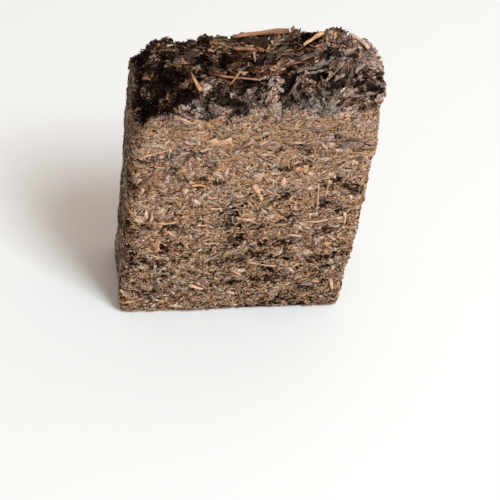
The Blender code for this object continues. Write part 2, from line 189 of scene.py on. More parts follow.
# Patches of matted leaf on the break: first end, second end, reach, colour.
BREAK_PATCHES = (
    ((-8, -19.5), (-2, -17.5), 4, (0.11, 0.082, 0.068)),
    ((-26.5, -17), (-19.5, -21), 4.2, (0.24, 0.18, 0.15)),
    ((-46, -20.5), (-40, -21), 3, (0.22, 0.175, 0.15)),
    ((13, -21), (25, -18.5), 4.2, (0.20, 0.155, 0.13)),
    ((32.5, -22.5), (37, -22.5), 4, (0.24, 0.185, 0.155)),
    ((31, -15.5), (37.5, -18), 4, (0.15, 0.115, 0.09)),
    ((48.5, -4), (55, 6.5), 5, (0.36, 0.235, 0.165)),
    ((39.5, -3), (42, 1), 4, (0.20, 0.135, 0.10)),
    ((54, -6), (56, -12), 4, (0.40, 0.27, 0.20)),
    ((-13, 16), (7, 14), 3, (0.035, 0.023, 0.013)),
    ((-25.5, 1.5), (-18.5, 1), 3.5, (0.09, 0.062, 0.047)),
    ((14, 14), (15, 3), 3.5, (0.14, 0.095, 0.07)),
    ((20.5, -2.5), (30, 3.5), 3.5, (0.20, 0.145, 0.11)),
    ((-20, -15), (-8, -10), 4, (0.12, 0.085, 0.065)),
    ((-40, 13), (-30, 8), 5, (0.07, 0.045, 0.03)),
)
FRONT_CHIPS = (
    ((-38, 140.5), (-31.5, 139), 2.6, PINK),
    ((-21.5, 125), (-10.5, 126.5), 3.6, TAN),
    ((-42, 57.5), (-41.5, 48), 2.6, ORANGE),
    ((-47.5, 50), (-44.5, 48.5), 2.4, TAN),
    ((47, 113), (50.5, 111.5), 3, PALE),
    ((54, 117), (56.5, 110), 2.4, PINK),
    ((34, 125), (39, 123), 2.4, PINK),
    ((27, 70), (35.5, 64), 2, PINK),
    ((-2.5, 75), (2.5, 75), 1.8, ORANGE),
    ((-57.5, 81), (-55, 74.5), 2.2, BARK),
    ((21.5, 107.5), (27.5, 107), 2.6, ORANGE),
    ((-38.5, 65), (-38, 60.5), 2.2, ORANGE),
    ((-6, 29.5), (-1.5, 32), 2.4, RUST),
    ((-42, 24), (-38.5, 15.5), 2.4, DUN),
    ((-32, 94.5), (-29, 98), 2, FAWN),
)
# Places where the leaves stand apart, the core is dug in and painted shade makes the brick darkest: first
# end, second end, reach.
HOLLOWS = (
    ((-49, -13), (-39, -5), 8), ((-36, -15), (-32, -14), 4.5), ((-25, 7), (-24, 5), 4.5),
    ((-19.5, -13.5), (-18, -12), 4), ((-17, -17.5), (-10, -17), 4), ((-6.5, -3.5), (-2, -5.5), 3.5),
    ((-5, -12), (2.5, -12), 5), ((14, -19), (18, -17), 2.8), ((12.5, -12), (15.5, -11.5), 4),
    ((32.5, 2), (33, 1.5), 3), ((44.5, -2), (45, -3), 3), ((37.5, -21.5), (38, -20), 2.2),
    ((47.5, -15), (53, -14), 2.5), ((48, -5), (50, -10.5), 2.2), ((21, 12), (28, 20), 4.5),
    ((-14, 0.5), (-2.5, 1.5), 3), ((26, -11), (31, -9), 2.5), ((41, 15.5), (45, 18), 3),
)
# Places where the matted leaves stand up: first end, second end, reach.
CRESTS = (((-12, 16.5), (19, 18.5), 5), ((47, 19), (54, 9.5), 3.5))
FRONT_DARKS = (
    ((-53, 113), (-45.5, 116.5), 2.5), ((-45, 112.5), (-39, 116.5), 2.5), ((-37.5, 106), (-32, 100.5), 3.5),
    ((-35.5, 119.5), (-24, 116.5), 4), ((-21.5, 111), (-17, 109.5), 3), ((-26, 93.5), (-19.5, 96.5), 2.5),
    ((-56.5, 96.5), (-55, 89.5), 5), ((-27.5, 100.5), (-22.5, 100), 3), ((-17, 98), (-12, 98), 3),
    ((13, 122.5), (15.5, 123), 3), ((21.5, 123.5), (27, 119.5), 4), ((39, 128.5), (43.5, 124), 5),
    ((48, 120.5), (54, 123), 4), ((21, 111), (28, 112.5), 3.5), ((11, 107.5), (19.5, 108), 3.5),
    ((36, 93.5), (37.5, 97.5), 3.5), ((43, 99), (53, 92.5), 5.5), ((17, 92), (24.5, 89), 4),
    ((15, 85.5), (18.5, 86.5), 3.5), ((38.5, 81), (50, 76), 6.5), ((-10, 70), (-6.5, 77), 5.5),
    ((-6.5, 69), (-1.5, 67.5), 4), ((-38, 65), (-33.5, 66.5), 5), ((-51, 66.5), (-46, 65.5), 4),
    ((-57.5, 66), (-54.5, 60), 5.5), ((5, 68), (7, 64.5), 4), ((20.5, 71.5), (26, 75.5), 4),
    ((37.5, 61), (44.5, 63.5), 3.5), ((20, 54.5), (25.5, 51), 3.5), ((-5, 50), (0.5, 58.5), 4),
    ((-40.5, 48), (-36.5, 53), 4), ((-46, 40.5), (-39.5, 35.5), 5), ((-56.5, 50), (-53, 40), 5.5),
    ((-15, 38.5), (1, 41.5), 4.5), ((0.5, 44.5), (19, 42.5), 4.5), ((23.5, 46), (26, 41), 5),
    ((37, 39.5), (53.5, 44), 4), ((44, 33.5), (49.5, 36.5), 3.5), ((14, 35), (18.5, 28.5), 4),
    ((9, 24.5), (28, 26.5), 3.5), ((-8, 21.5), (3.5, 23), 3.5), ((34.5, 18.5), (42.5, 16.5), 3.5),
    ((24, 4.5), (31.5, 10), 5), ((-49, 16), (-38.5, 16.5), 3), ((-4, 2), (40, 2), 3),
)

# Leaf colours as (share, colour), dark to light: on the faces, on the break's shoulders, and on the break.
FACE_PALETTE = (
    (0.10, (0.024, 0.014, 0.009)), (0.11, (0.075, 0.052, 0.040)), (0.13, (0.19, 0.119, 0.080)),
    (0.23, (0.34, 0.207, 0.134)), (0.22, (0.48, 0.294, 0.186)), (0.12, (0.60, 0.378, 0.244)),
    (0.05, (0.63, 0.35, 0.19)), (0.06, (0.80, 0.53, 0.335)),
)
# The shoulder colours are greyer than the faces: partly the leaves' own grey, partly painted sheen.
SHOULDER_PALETTE = (
    (0.12, (0.034, 0.020, 0.014)), (0.15, (0.130, 0.080, 0.052)), (0.24, (0.300, 0.184, 0.118)),
    (0.20, (0.320, 0.228, 0.180)), (0.20, (0.45, 0.280, 0.184)), (0.09, (0.53, 0.342, 0.226)),
)
BREAK_PALETTE = (
    (0.25, (0.022, 0.011, 0.006)), (0.20, (0.050, 0.026, 0.013)), (0.19, (0.115, 0.060, 0.031)),
    (0.09, (0.115, 0.084, 0.068)), (0.15, (0.220, 0.120, 0.066)), (0.12, (0.36, 0.215, 0.130)),
)
STEM_PALETTE = ((0.30, ORANGE), (0.26, TAN), (0.12, PINK), (0.10, PALE), (0.22, BARK))


# Settings

class BrickSettings(bpy.types.PropertyGroup):
    core_cell: FloatProperty(
        name="Core Cell", description="Cell size of the core's mesh", default=0.00094, unit="LENGTH")
    pit_depth: FloatProperty(
        name="Pit Depth", description="Depth of the gaps between the flakes", default=0.0014, unit="LENGTH")
    fold_depth: FloatProperty(
        name="Fold Depth", description="Depth of the folds of the break", default=0.0026, unit="LENGTH")
    grain_depth: FloatProperty(
        name="Grain Depth", description="Height of the core's fine relief", default=0.0004, unit="LENGTH")
    flakes: IntProperty(name="Flakes", description="Leaf flakes pressed into the faces", default=9800)
    bits: IntProperty(name="Bits", description="Broken bits of leaf over the whole brick", default=12400)
    fibres: IntProperty(name="Fibres", description="Thin fibres over the whole brick", default=12000)
    leaves: IntProperty(name="Leaves", description="Larger leaves lying on the break", default=1950)
    shreds: IntProperty(name="Shreds", description="Narrow twisted leaves on the break", default=2700)
    stems: IntProperty(name="Stems", description="Smaller stems over the whole brick", default=430)
    seed: IntProperty(name="Seed", description="Start of every random draw", default=7)


class StudioSettings(bpy.types.PropertyGroup):
    azimuth: FloatProperty(
        name="Azimuth", description="Camera's side", default=math.radians(-11.67), subtype="ANGLE")
    elevation: FloatProperty(
        name="Elevation", description="Camera's height", default=math.radians(48.8), subtype="ANGLE")
    roll: FloatProperty(
        name="Roll", description="Turn of the picture", default=math.radians(8.34), subtype="ANGLE")
    distance: FloatProperty(
        name="Distance", description="From the camera to the origin's plane", default=0.8085, unit="LENGTH")
    shift: FloatVectorProperty(
        name="Shift", description="Camera's place across its view", size=2, default=(0.0120, 0.01426),
        unit="LENGTH")
    lens: FloatProperty(name="Lens", description="Focal length on a 36 mm film", default=108.0, unit="CAMERA")
    key_azimuth: FloatProperty(
        name="Key Azimuth", description="Side of the window", default=math.radians(41.3), subtype="ANGLE")
    key_elevation: FloatProperty(
        name="Key Elevation", description="Height of the window", default=math.radians(60.9), subtype="ANGLE")
    key_power: FloatProperty(name="Key Power", description="Light of the window", default=26.6, unit="POWER")
    ambient: FloatProperty(name="Ambient", description="Strength of the room's light", default=0.61)


# Noise and fields

def lattice_noise(points, seed):
    """Smooth noise from -1 to 1 with features about one unit across."""
    cell = np.floor(points).astype(np.int64)
    part = smooth(points - cell)
    total = np.zeros(len(points))
    for corner in range(8):
        step = np.array([(corner >> k) & 1 for k in range(3)])
        spot = (cell + step) * np.array([73856093, 19349663, 83492791])
        value = (spot[:, 0] ^ spot[:, 1] ^ spot[:, 2] ^ (seed * 2654435761)) & 0xFFFFFFFF
        value = ((value ^ (value >> 15)) * 2246822519) & 0xFFFFFFFF
        value = ((value ^ (value >> 13)) * 3266489917) & 0xFFFFFFFF
        value = (value ^ (value >> 16)) / 0xFFFFFFFF * 2 - 1
        total += value * np.prod(np.where(step == 1, part, 1 - part), axis=1)
    return total


def smooth(t):
    t = np.clip(t, 0, 1)
    return t * t * (3 - 2 * t)


def unit(vectors):
    return vectors / np.maximum(np.linalg.norm(vectors, axis=-1, keepdims=True), 1e-12)


def upper_share(points):
    """0 near the foot, where the leaf layers run nearly level, rising to 1 in the upper half."""
    return smooth((points[:, 2] - LEVEL_TOP) / LEVEL_FADE)


def layer_slope(place):
    """How steeply the leaf layers run: sinking to the left side higher up, nearly level at the foot."""
    left = np.clip(-place[:, 0] / HALF[0], 0, 1)
    right = np.clip(place[:, 0] / HALF[0], 0, 1)
    upper = upper_share(place)
    return 3 * LAYER_RISE + upper * (0.10 + 0.75 * left ** 2) - (1 - upper) * 0.25 * left - 0.15 * right


def layer_point(points):
    """Points in mm with their heights counted along the sagging layers."""
    left = np.clip(-points[:, 0] / HALF[0], 0, 1)
    upper = upper_share(points)
    height = points[:, 2] - LAYER_RISE * points[:, 0] + HALF[0] * left * upper * (0.10 + 0.25 * left ** 2)
    return np.stack([points[:, 0], points[:, 1], height], axis=1) / MM


def near_lines(places, lines):
    """1 on a line, falling to 0 at its reach; each line is its two ends and its reach."""
    near = np.zeros(len(places))
    for first, second, reach in lines:
        a, b = np.array(first), np.array(second)
        along = np.clip((places - a) @ (b - a) / ((b - a) @ (b - a)), 0, 1)
        away = np.linalg.norm(places - a - along[:, None] * (b - a), axis=1)
        near = np.maximum(near, 1 - away / reach)
    return near


def front_dark(places, outward):
    """1 in the darkest clusters of the front, 0 away from them and on the other sides."""
    return smooth(1.3 * near_lines(places[:, [0, 2]] / MM, FRONT_DARKS)) * (outward < 0)


def pit_field(points):
    """Where the flakes have gaps: 0 on the closed face to 1 in a pit, more of them low down."""
    p = layer_point(points)
    wide = lattice_noise(p * np.array([0.10, 0.14, 0.22]), 3)
    fine = lattice_noise(p * np.array([0.55, 0.60, 1.15]), 5)
    low = smooth(1.25 - points[:, 2] / TALL * 1.25)
    front = points[:, 1] < 0
    dark = front_dark(points, points[:, 1])
    return smooth(((0.7 - 0.4 * front) * wide + fine + 0.42 * low + 0.48 * dark - 0.65) * 2.8)


def fold_field(points):
    """How far the matted leaves of the break are folded in: 0 on a ridge to 1 in a fold."""
    p = points / MM
    along, across = p[:, 0] * 0.8 + p[:, 1] * 0.6, p[:, 1] * 0.8 - p[:, 0] * 0.6
    warp = np.stack([lattice_noise(p * 0.16, 41 + k) for k in range(3)], axis=1)
    q = np.stack([along * 0.10, across * 0.20, p[:, 2] * 0.18], axis=1) + 0.4 * warp
    ridge = 1 - 3.2 * np.abs(lattice_noise(q * 2.2, 45))
    height = 0.6 * lattice_noise(q, 44) + 0.3 * np.clip(ridge, -1, 1) + 0.3 * lattice_noise(q * 4.5, 46)
    hollow = smooth(1.4 * near_lines(p[:, :2], HOLLOWS))
    crest = smooth(1.4 * near_lines(p[:, :2], CRESTS))
    return smooth(0.44 - 1.15 * height + 0.6 * hollow - crest)


def shoulder_share(points):
    """1 on the front and right shoulders of the break, where it shows wear and its leaf is given a grey that
    is partly painted sheen, 0 on its top; narrow at its left end.
    """
    wander = 3 * MM * lattice_noise(points / MM * 0.15, 25)
    inward = points[:, 1] + HALF[1] + wander
    deep = (5 + 12 * smooth((points[:, 0] / HALF[0] + 0.85) / 0.5)) * MM
    front = smooth((deep - inward) / (8 * MM))
    right = 0.6 * smooth((points[:, 0] + wander - HALF[0] * 0.55) / (20 * MM))
    return np.maximum(front, right)


# Modelling helpers

def only(obj):
    bpy.ops.object.select_all(action="DESELECT")
    obj.select_set(True)
    bpy.context.view_layer.objects.active = obj


def vectors_of(items, key):
    values = np.empty(len(items) * 3)
    items.foreach_get(key, values)
    return values.reshape(-1, 3)


def mesh_arrays(mesh):
    mesh.calc_loop_triangles()
    triangles = np.empty(len(mesh.loop_triangles) * 3, np.int32)
    mesh.loop_triangles.foreach_get("vertices", triangles)
    return vectors_of(mesh.vertices, "co"), triangles.reshape(-1, 3)


def apply_modifier(obj, kind, **settings):
    only(obj)
    modifier = obj.modifiers.new(kind.lower(), kind)
    for name, value in settings.items():
        setattr(modifier, name, value)
    bpy.ops.object.modifier_apply(modifier=modifier.name)


def taken_shape(obj):
    """The finished template as arrays, after which its object is removed."""
    points, triangles = mesh_arrays(obj.data)
    shape = Shape(points, triangles, points[:, :2][triangles].reshape(-1, 2) / 2 + 0.5)
    bpy.data.objects.remove(obj)
    return shape


def leaf_shape(cells_long, cells_wide):
    """A flat closed leaf piece from -1 to 1 both ways and one unit thick."""
    bpy.ops.object.select_all(action="DESELECT")
    bpy.ops.mesh.primitive_grid_add(x_subdivisions=cells_long, y_subdivisions=cells_wide, size=2)
    leaf = bpy.context.object
    apply_modifier(leaf, "SOLIDIFY", thickness=1.0, offset=0.0)
    apply_modifier(leaf, "TRIANGULATE")
    return taken_shape(leaf)


def stick_shape(sides, cells):
    """A closed stick along X, from -1 to 1, with blunt ends and a radius of one."""
    bpy.ops.object.select_all(action="DESELECT")
    bpy.ops.mesh.primitive_cylinder_add(vertices=sides, radius=1, depth=2, rotation=(0, math.pi / 2, 0))
    stick = bpy.context.object
    bpy.ops.object.transform_apply(rotation=True)
    bpy.ops.object.mode_set(mode="EDIT")
    bpy.ops.mesh.select_mode(type="EDGE")
    bpy.ops.mesh.select_all(action="DESELECT")
    bpy.ops.object.mode_set(mode="OBJECT")
    for edge in stick.data.edges:
        first, second = (stick.data.vertices[i].co for i in edge.vertices)
        edge.select = abs(first.x - second.x) > 1
    bpy.ops.object.mode_set(mode="EDIT")
    bpy.ops.mesh.subdivide(number_cuts=cells - 1)
    bpy.ops.object.mode_set(mode="OBJECT")
    apply_modifier(stick, "TRIANGULATE")
    return taken_shape(stick)


def lump_shape():
    """A block about one unit from its middle to its corners."""
    bpy.ops.object.select_all(action="DESELECT")
    bpy.ops.mesh.primitive_cube_add(size=1.3)
    lump = bpy.context.object
    apply_modifier(lump, "TRIANGULATE")
    return taken_shape(lump)


def box_uv(mesh, name):
    """One flat island for each of the six sides, laid out in a 3 by 2 sheet."""
    points, triangles = mesh_arrays(mesh)
    centre = points[triangles].mean(axis=1)
    share = (centre - np.array([0, 0, TALL / 2])) / np.array([HALF[0], HALF[1], TALL / 2])
    side = np.argmax(np.abs(share) + np.array([0, 0, 0.02]), axis=1)
    plus = np.take_along_axis(share, side[:, None], axis=1)[:, 0] > 0
    cell = side * 2 + plus
    flat = {0: (1, 2), 1: (0, 2), 2: (0, 1)}
    span = np.array([2 * HALF[0], 2 * HALF[1], TALL]) * 1.04
    corners = (points - np.array([-HALF[0], -HALF[1], 0]) * 1.02)[triangles]
    uv = np.empty((len(triangles), 3, 2))
    for k in range(6):
        mine = cell == k
        axes = flat[k // 2]
        uv[mine] = corners[mine][:, :, axes] / span[list(axes)] * 0.96 + 0.02
    uv = np.clip(uv, 0.01, 0.99)
    uv[..., 0] = (uv[..., 0] + (cell % 3)[:, None]) / 3
    uv[..., 1] = (uv[..., 1] + (cell // 3)[:, None]) / 2
    add_uv(mesh, name, uv)


def write_field(mesh, name, values):
    """Keeps a number, a vector or a colour for each point of the mesh."""
    kind, key = FIELDS[values.shape[1]]
    field = mesh.attributes.new(name, kind, "POINT")
    field.data.foreach_set(key, values.reshape(-1).astype(np.float32))


def set_tint(mesh, colours):
    write_field(mesh, "tint", np.column_stack([colours, np.ones(len(colours))]))


def read_numbers(mesh, name):
    values = np.empty(len(mesh.vertices))
    mesh.attributes[name].data.foreach_get("value", values)
    return values


def add_uv(mesh, name, uv):
    mesh.uv_layers.new(name=name).data.foreach_set("uv", uv.reshape(-1).astype(np.float32))


def joined_mesh(name, shape, points):
    """One mesh of many closed copies of a shape; points is (copies, vertices, 3)."""
    copies, size = points.shape[:2]
    triangles = (shape.triangles[None] + size * np.arange(copies)[:, None, None]).reshape(-1, 3)
    mesh = bpy.data.meshes.new(name)
    mesh.vertices.add(copies * size)
    mesh.vertices.foreach_set("co", points.reshape(-1).astype(np.float32))
    mesh.loops.add(triangles.size)
    mesh.loops.foreach_set("vertex_index", triangles.reshape(-1).astype(np.int32))
    mesh.polygons.add(len(triangles))
    mesh.polygons.foreach_set("loop_start", np.arange(0, triangles.size, 3, dtype=np.int32))
    mesh.update(calc_edges=True)
    return mesh


def add_scatter(name, shape, points, tints, scale, material, mottle=0.0, rim_highlight=0.0):
    """A piece of many copies of a shape. Mottle is the spread of the tone over one copy; the last setting is
    how much lighter the long edges of some copies are: a painted highlight on their curled edges, with
    painted shade along their middle."""
    copies, size = points.shape[:2]
    rng = np.random.default_rng(copies)
    # Painted highlight along the long edges of some copies, painted shade along their middle.
    edge = (np.abs(shape.points[:, 1]) - 0.5)[None] * rng.uniform(-0.4, 1.6, (copies, 1)) * rim_highlight
    tone = np.exp(rng.normal(0, mottle, (copies, size)) + edge)[:, :, None]
    mesh = joined_mesh(name, shape, points)
    set_tint(mesh, soft_limit(tints[:, None, :] * tone).reshape(-1, 3))
    number = np.arange(copies)
    offset = np.column_stack([number * 0.37 % 7, number * 0.61 % 5])
    add_uv(mesh, "grain", shape.grain[None] * scale[:, None, :] / MM + offset[:, None, :])
    across = math.ceil(math.sqrt(copies))
    cell = np.column_stack([number % across, number // across])
    add_uv(mesh, "OFBake", (cell[:, None, :] + 0.12 + 0.76 * shape.grain[None]) / across)
    mesh.materials.append(material)
    obj = bpy.data.objects.new(name, mesh)
    bpy.context.scene.collection.objects.link(obj)
    finish(obj)


def finish(obj):
    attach(obj, BODY)
    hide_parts(NODE)


# Scattering

def surface_spots(rng, count, weight):
    """Spots spread by area over the core; weight(place, lie, broken, pit) makes some places denser."""
    core = bpy.data.objects["packed_core"].data
    points, triangles = mesh_arrays(core)
    normals = vectors_of(core.attributes["lie"].data, "vector")
    broken, pit = (read_numbers(core, name)[triangles].mean(axis=1) for name in ("broken", "pit"))
    corners = points[triangles]
    area = np.linalg.norm(np.cross(corners[:, 1] - corners[:, 0], corners[:, 2] - corners[:, 0]), axis=1)
    lie = unit(normals[triangles].mean(axis=1))
    chance = np.cumsum(area * weight(corners.mean(axis=1), lie, broken, pit))
    draws = (np.arange(count) + rng.random(count)) / count * chance[-1]
    pick = np.minimum(np.searchsorted(chance, draws), len(chance) - 1)[rng.permutation(count)]
    a, b = rng.random((2, count))
    flip = a + b > 1
    a[flip], b[flip] = 1 - a[flip], 1 - b[flip]
    share = np.stack([1 - a - b, a, b], axis=1)[:, :, None]
    place = (corners[pick] * share).sum(axis=1)
    normal = unit((normals[triangles[pick]] * share).sum(axis=1))
    return Spots(place, normal, broken[pick], pit[pick])


def sown(context, kind, weight):
    """The random draws of one kind of piece, the number of its pieces, and their spots."""
    settings = context.scene.tea_brick
    rng = np.random.default_rng(settings.seed + KINDS.index(kind))
    count = getattr(settings, kind)
    return rng, count, surface_spots(rng, count, weight)


def open_air(place, lie):
    return (place[:, 2] > 0.0008) * (lie[:, 2] > -0.7)


def on_faces(place, lie, broken, pit):
    return (1 - broken) * (1 - 0.85 * pit) * open_air(place, lie)


def on_all(place, lie, broken, pit):
    return (1 - 0.6 * broken) * (1 - 0.7 * pit) * open_air(place, lie)


def more_on_faces(place, lie, broken, pit):
    upper = smooth((place[:, 2] / TALL - 0.55) / 0.25)
    return (1 - 0.92 * broken) * (1 - 0.6 * pit) * (1 - 0.4 * upper * (1 - broken)) * open_air(place, lie)


def on_break(place, lie, broken, pit):
    return broken * (1 - 0.75 * pit) * (1 - 0.85 * smooth(1.5 * near_named(place, lie)))


def on_top(place, lie, broken, pit):
    return on_break(place, lie, broken, pit) * (1 - 0.6 * shoulder_share(place))


def room_across(place):
    """Share of their full length that the leaves of the break have: short at the left and along the back."""
    return (0.62 + 0.38 * smooth(place[:, 0] / HALF[0] * 0.8 + 0.5)) * (1 - 0.4 * rim_share(place))


def roughness_of(spots):
    """How far the pieces stand out of line: pressed flat high on the faces, rough near the foot."""
    return (1.5 - 1.1 * spots.place[:, 2] / TALL) * (1 - spots.broken) + spots.broken


def rim_share(place):
    """1 along the back of the break, where it is darkest and its leaves are small, 0 away from it."""
    return smooth((place[:, 1] - 13 * MM) / (7 * MM))


def edge_room(normal):
    """How long a piece may be: full on a flat face, short near a rounded edge."""
    flat = np.abs(normal).max(axis=1)
    return 0.35 + 0.65 * smooth((flat - 0.86) / 0.12)


def flow(spots):
    """Direction of the leaves on the break, seen from above: slanting at the right, along the back."""
    right = spots.place[:, 0] / HALF[0]
    front = -spots.place[:, 1] / HALF[1]
    return 0.65 * smooth(right + 0.4) - 0.8 * smooth(-right) * smooth(front + 0.3)


def spin_of(rng, spots, spread, loose):
    """Turn of each piece in its surface: along the layers, or along its bundle and the flow of the break; a
    share of them any way."""
    count = len(spots.broken)
    lean = layer_slope(spots.place) * -spots.normal[:, 1] + rng.normal(0, spread, count)
    bundle = flow(spots) + 1.3 * lattice_noise(spots.place / MM * 0.17, 71)
    bundle = bundle + rng.normal(0, 0.55 * spread, count)
    spin = np.where(spots.broken > 0.5, bundle, lean)
    return np.where(rng.random(count) < loose, rng.uniform(-1.57, 1.57, count), spin)


def turned(first, second, angle):
    """Two axes turned together, the first towards the second."""
    c, s = np.cos(angle)[:, None], np.sin(angle)[:, None]
    return c * first + s * second, c * second - s * first


def lie_frames(spots, spin, pitch, bank):
    """Frames on the surface: turned in it by spin, end lifted by pitch, edge lifted by bank."""
    normal = spots.normal
    level = np.cross(np.array([0.0, 0.0, 1.0]), normal)
    level[(spots.broken > 0.5) | (np.abs(normal[:, 2]) > 0.9)] = np.array([1.0, 0.0, 0.0])
    level = unit(level - normal * (level * normal).sum(axis=1, keepdims=True))
    along, across = turned(level, np.cross(normal, level), spin)
    along, up = turned(along, normal, pitch)
    across, up = turned(across, up, bank)
    return np.stack([along, across, up], axis=2)


def loose_frames(rng, spots, spread, loose, pitch, bank, rough=1.0):
    """Frames of leaf pieces: turned in the surface, with ends and edges lifted at random."""
    count = len(spots.broken)
    spin = spin_of(rng, spots, spread, loose)
    return lie_frames(spots, spin, rng.normal(0, pitch, count) * rough, rng.normal(0, bank, count) * rough)


def rolled_frames(rng, spots, loose, pitch):
    """Frames of stems and fibres: turned in the surface and rolled any way."""
    count = len(spots.broken)
    spin = spin_of(rng, spots, 0.5, loose)
    return lie_frames(spots, spin, rng.normal(0, pitch, count), rng.uniform(-3, 3, count))


def laid(local, frames, spots, lift, cap=0.1):
    """Copies turned by their frames and laid on their spots, pressed flat above cap, kept off the floor."""
    facing = np.einsum("nij,nvj->nvi", frames, local)
    high = np.einsum("nvi,ni->nv", facing, spots.normal) + lift[:, None]
    pressed = np.where(high > 0, cap * np.tanh(high / cap), high)
    world = spots.place[:, None, :] + facing
    world = world + (pressed - high + lift[:, None])[:, :, None] * spots.normal[:, None, :]
    world[..., 2] = np.maximum(world[..., 2], 0.0001)
    return world


def torn(shape, rng, length, width, thick, curl, twist, fold):
    """Copies of a leaf shape, each torn to its own outline, crumpled, curled along its length, twisted and
    folded."""
    count = len(length)
    s, t, h = (shape.points[:, k][None, :] for k in range(3))
    stations, station = np.unique(shape.points[:, 0].round(3), return_inverse=True)
    broad = rng.uniform(0.5, 1.1, (count, len(stations)))
    broad[:, [0, -1]] *= rng.uniform(0.2, 0.9, (count, 2))
    aside = rng.normal(0, 0.2, (count, len(stations)))
    phase = rng.random((2, count, 1)) * 2 * math.pi
    t = t * broad[:, station] + aside[:, station]
    s = s + 0.12 * np.sin(2.5 * t + phase[0])
    bow = np.where(np.abs(curl[:, None]) < 0.02, 0.02, curl[:, None])
    reach = length[:, None] / 2
    line_x, line_z = reach * np.sin(bow * s) / bow, reach * (1 - np.cos(bow * s)) / bow
    y = width[:, None] / 2 * t
    z = thick[:, None] * h * (1 - 0.4 * np.abs(s)) + fold[:, None] * width[:, None] * (np.abs(t) - 0.5)
    _, column = np.unique(shape.points[:, :2].round(3), axis=0, return_inverse=True)
    crumple = rng.normal(0, 0.09, (count, column.max() + 1))[:, column.reshape(-1)]
    z = z + width[:, None] * (crumple + 0.08 * np.sin(5 * s + 2 * t + phase[1]))
    turn = twist[:, None] * s
    y, z = y * np.cos(turn) - z * np.sin(turn), y * np.sin(turn) + z * np.cos(turn)
    return np.stack([line_x - z * np.sin(bow * s), y, line_z + z * np.cos(bow * s)], axis=2)


def chipped(shape, rng, sizes):
    """Copies of a lump, each with its corners moved at random; sizes is (copies, 3)."""
    ragged = 1 + rng.uniform(-0.35, 0.35, (len(sizes), len(shape.points), 3))
    return shape.points[None] * ragged * sizes[:, None, :] / 2


def bowed(shape, rng, length, radius, bow, flatness=(0.5, 0.9), narrowing=(0.0, 0.45)):
    """Copies of a stick, uneven in thickness, bowed, and cut a little aslant."""
    count = len(length)
    s, y, z = (shape.points[:, k][None, :] for k in range(3))
    phase = rng.random((3, count, 1)) * 2 * math.pi
    taper = 1 - rng.uniform(*narrowing, (count, 1)) * (0.5 + 0.5 * s)
    _, ring = np.unique(shape.points[:, 0].round(3), return_inverse=True)
    knots = rng.normal(0, 0.08, (count, ring.max() + 1))[:, ring.reshape(-1)]
    uneven = 1 + 0.14 * np.sin(3.4 * s + phase[0]) + knots
    thick = radius[:, None] * uneven * (1 - 0.15 * np.abs(s) ** 6) * taper
    flat = rng.uniform(*flatness, (count, 1))
    end = 1 + 0.5 * radius[:, None] / length[:, None] * (y * np.cos(phase[1]) + z * np.sin(phase[1]))
    line = bow[:, None] * (1 - s * s) + 0.3 * bow[:, None] * np.sin(4 * s + phase[2])
    aside = rng.normal(0, 0.025, (count, 1)) * length[:, None] * (1 - s * s)
    return np.stack([length[:, None] / 2 * s * end, y * thick + aside, z * thick * flat + line], axis=2)


def between(rng, count, least_and_most):
    """Sizes in metres, spread evenly between two given in mm."""
    return rng.uniform(*least_and_most, count) * MM


def sizes_of(rng, count, typical, spread, least, most):
    """Lengths in metres, most of them near the typical one, given in mm."""
    return np.exp(rng.normal(math.log(typical), spread, count)).clip(least, most) * MM


def drawn(rng, palette, lean):
    """A palette colour for each piece; where lean is higher, more often one of the later colours."""
    count = len(lean)
    rank = np.argsort(np.argsort(lean + rng.normal(0, 1, count)))
    shares = np.cumsum([share for share, _ in palette])
    colours = np.array([colour for _, colour in palette])
    return colours[np.searchsorted(shares / shares[-1], (rank + 0.5) / count).clip(0, len(palette) - 1)]


def spot_tints(rng, spots, spread, matted=False):
    """A leaf colour for each spot: brown on the faces, greyer on the shoulders and on matted pieces, dark on
    the break; darker in the pits and folds by painted shade and lighter on each ridge by painted light, the
    shoulders' lighter grey partly the leaves' own and partly painted sheen."""
    count = len(spots.broken)
    p = layer_point(spots.place)
    up = spots.place[:, 2] / TALL
    high = smooth((up - 0.5) / 0.3)
    patch = lattice_noise(p * np.array([0.26, 0.26, 0.55]), 61)
    dark = front_dark(spots.place, spots.normal[:, 1])
    # Painted light and shade: lighter on each ridge, darker in the folds of the break and in the pits of the
    # faces.
    lit_ridges = 1.5 - 3.0 * spots.pit
    lean = (0.3 + 0.6 * up) * patch - 1.6 * spots.pit + up - 1.3 * dark
    shoulder = drawn(rng, SHOULDER_PALETTE, lit_ridges + 1.2 * patch)
    broken = drawn(rng, BREAK_PALETTE, lit_ridges) * break_light(spots)[:, None]
    face = shoulder if matted else drawn(rng, FACE_PALETTE, lean) * face_light(spots)[:, None]
    calm = 0.45 * high[:, None]
    face = face ** (1 - calm) * np.array(CALM) ** calm
    # On the shoulders a lighter grey: partly the leaves' own, partly painted sheen and painted light.
    worn_and_sheen = rng.random(count) < shoulder_share(spots.place)
    tints = patched(rng, spots, np.where(worn_and_sheen[:, None], 1.36 * shoulder, broken))
    # Painted shade in the folds of the break, painted light on its ridge tops.
    tints = tints * (1.3 - spots.pit)[:, None]
    tints = np.where((rng.random(count) < spots.broken)[:, None], tints, face)
    light = np.exp(rng.normal(0, 1, count) * spread * (3.0 - 2.9 * up.clip(0, 0.85)))[:, None]
    most = 0.8 - 0.28 * high * (1 - spots.broken)
    return leaf_hue(tints * light * cast_of(rng, spots, p, up, dark), spots.broken, most[:, None])


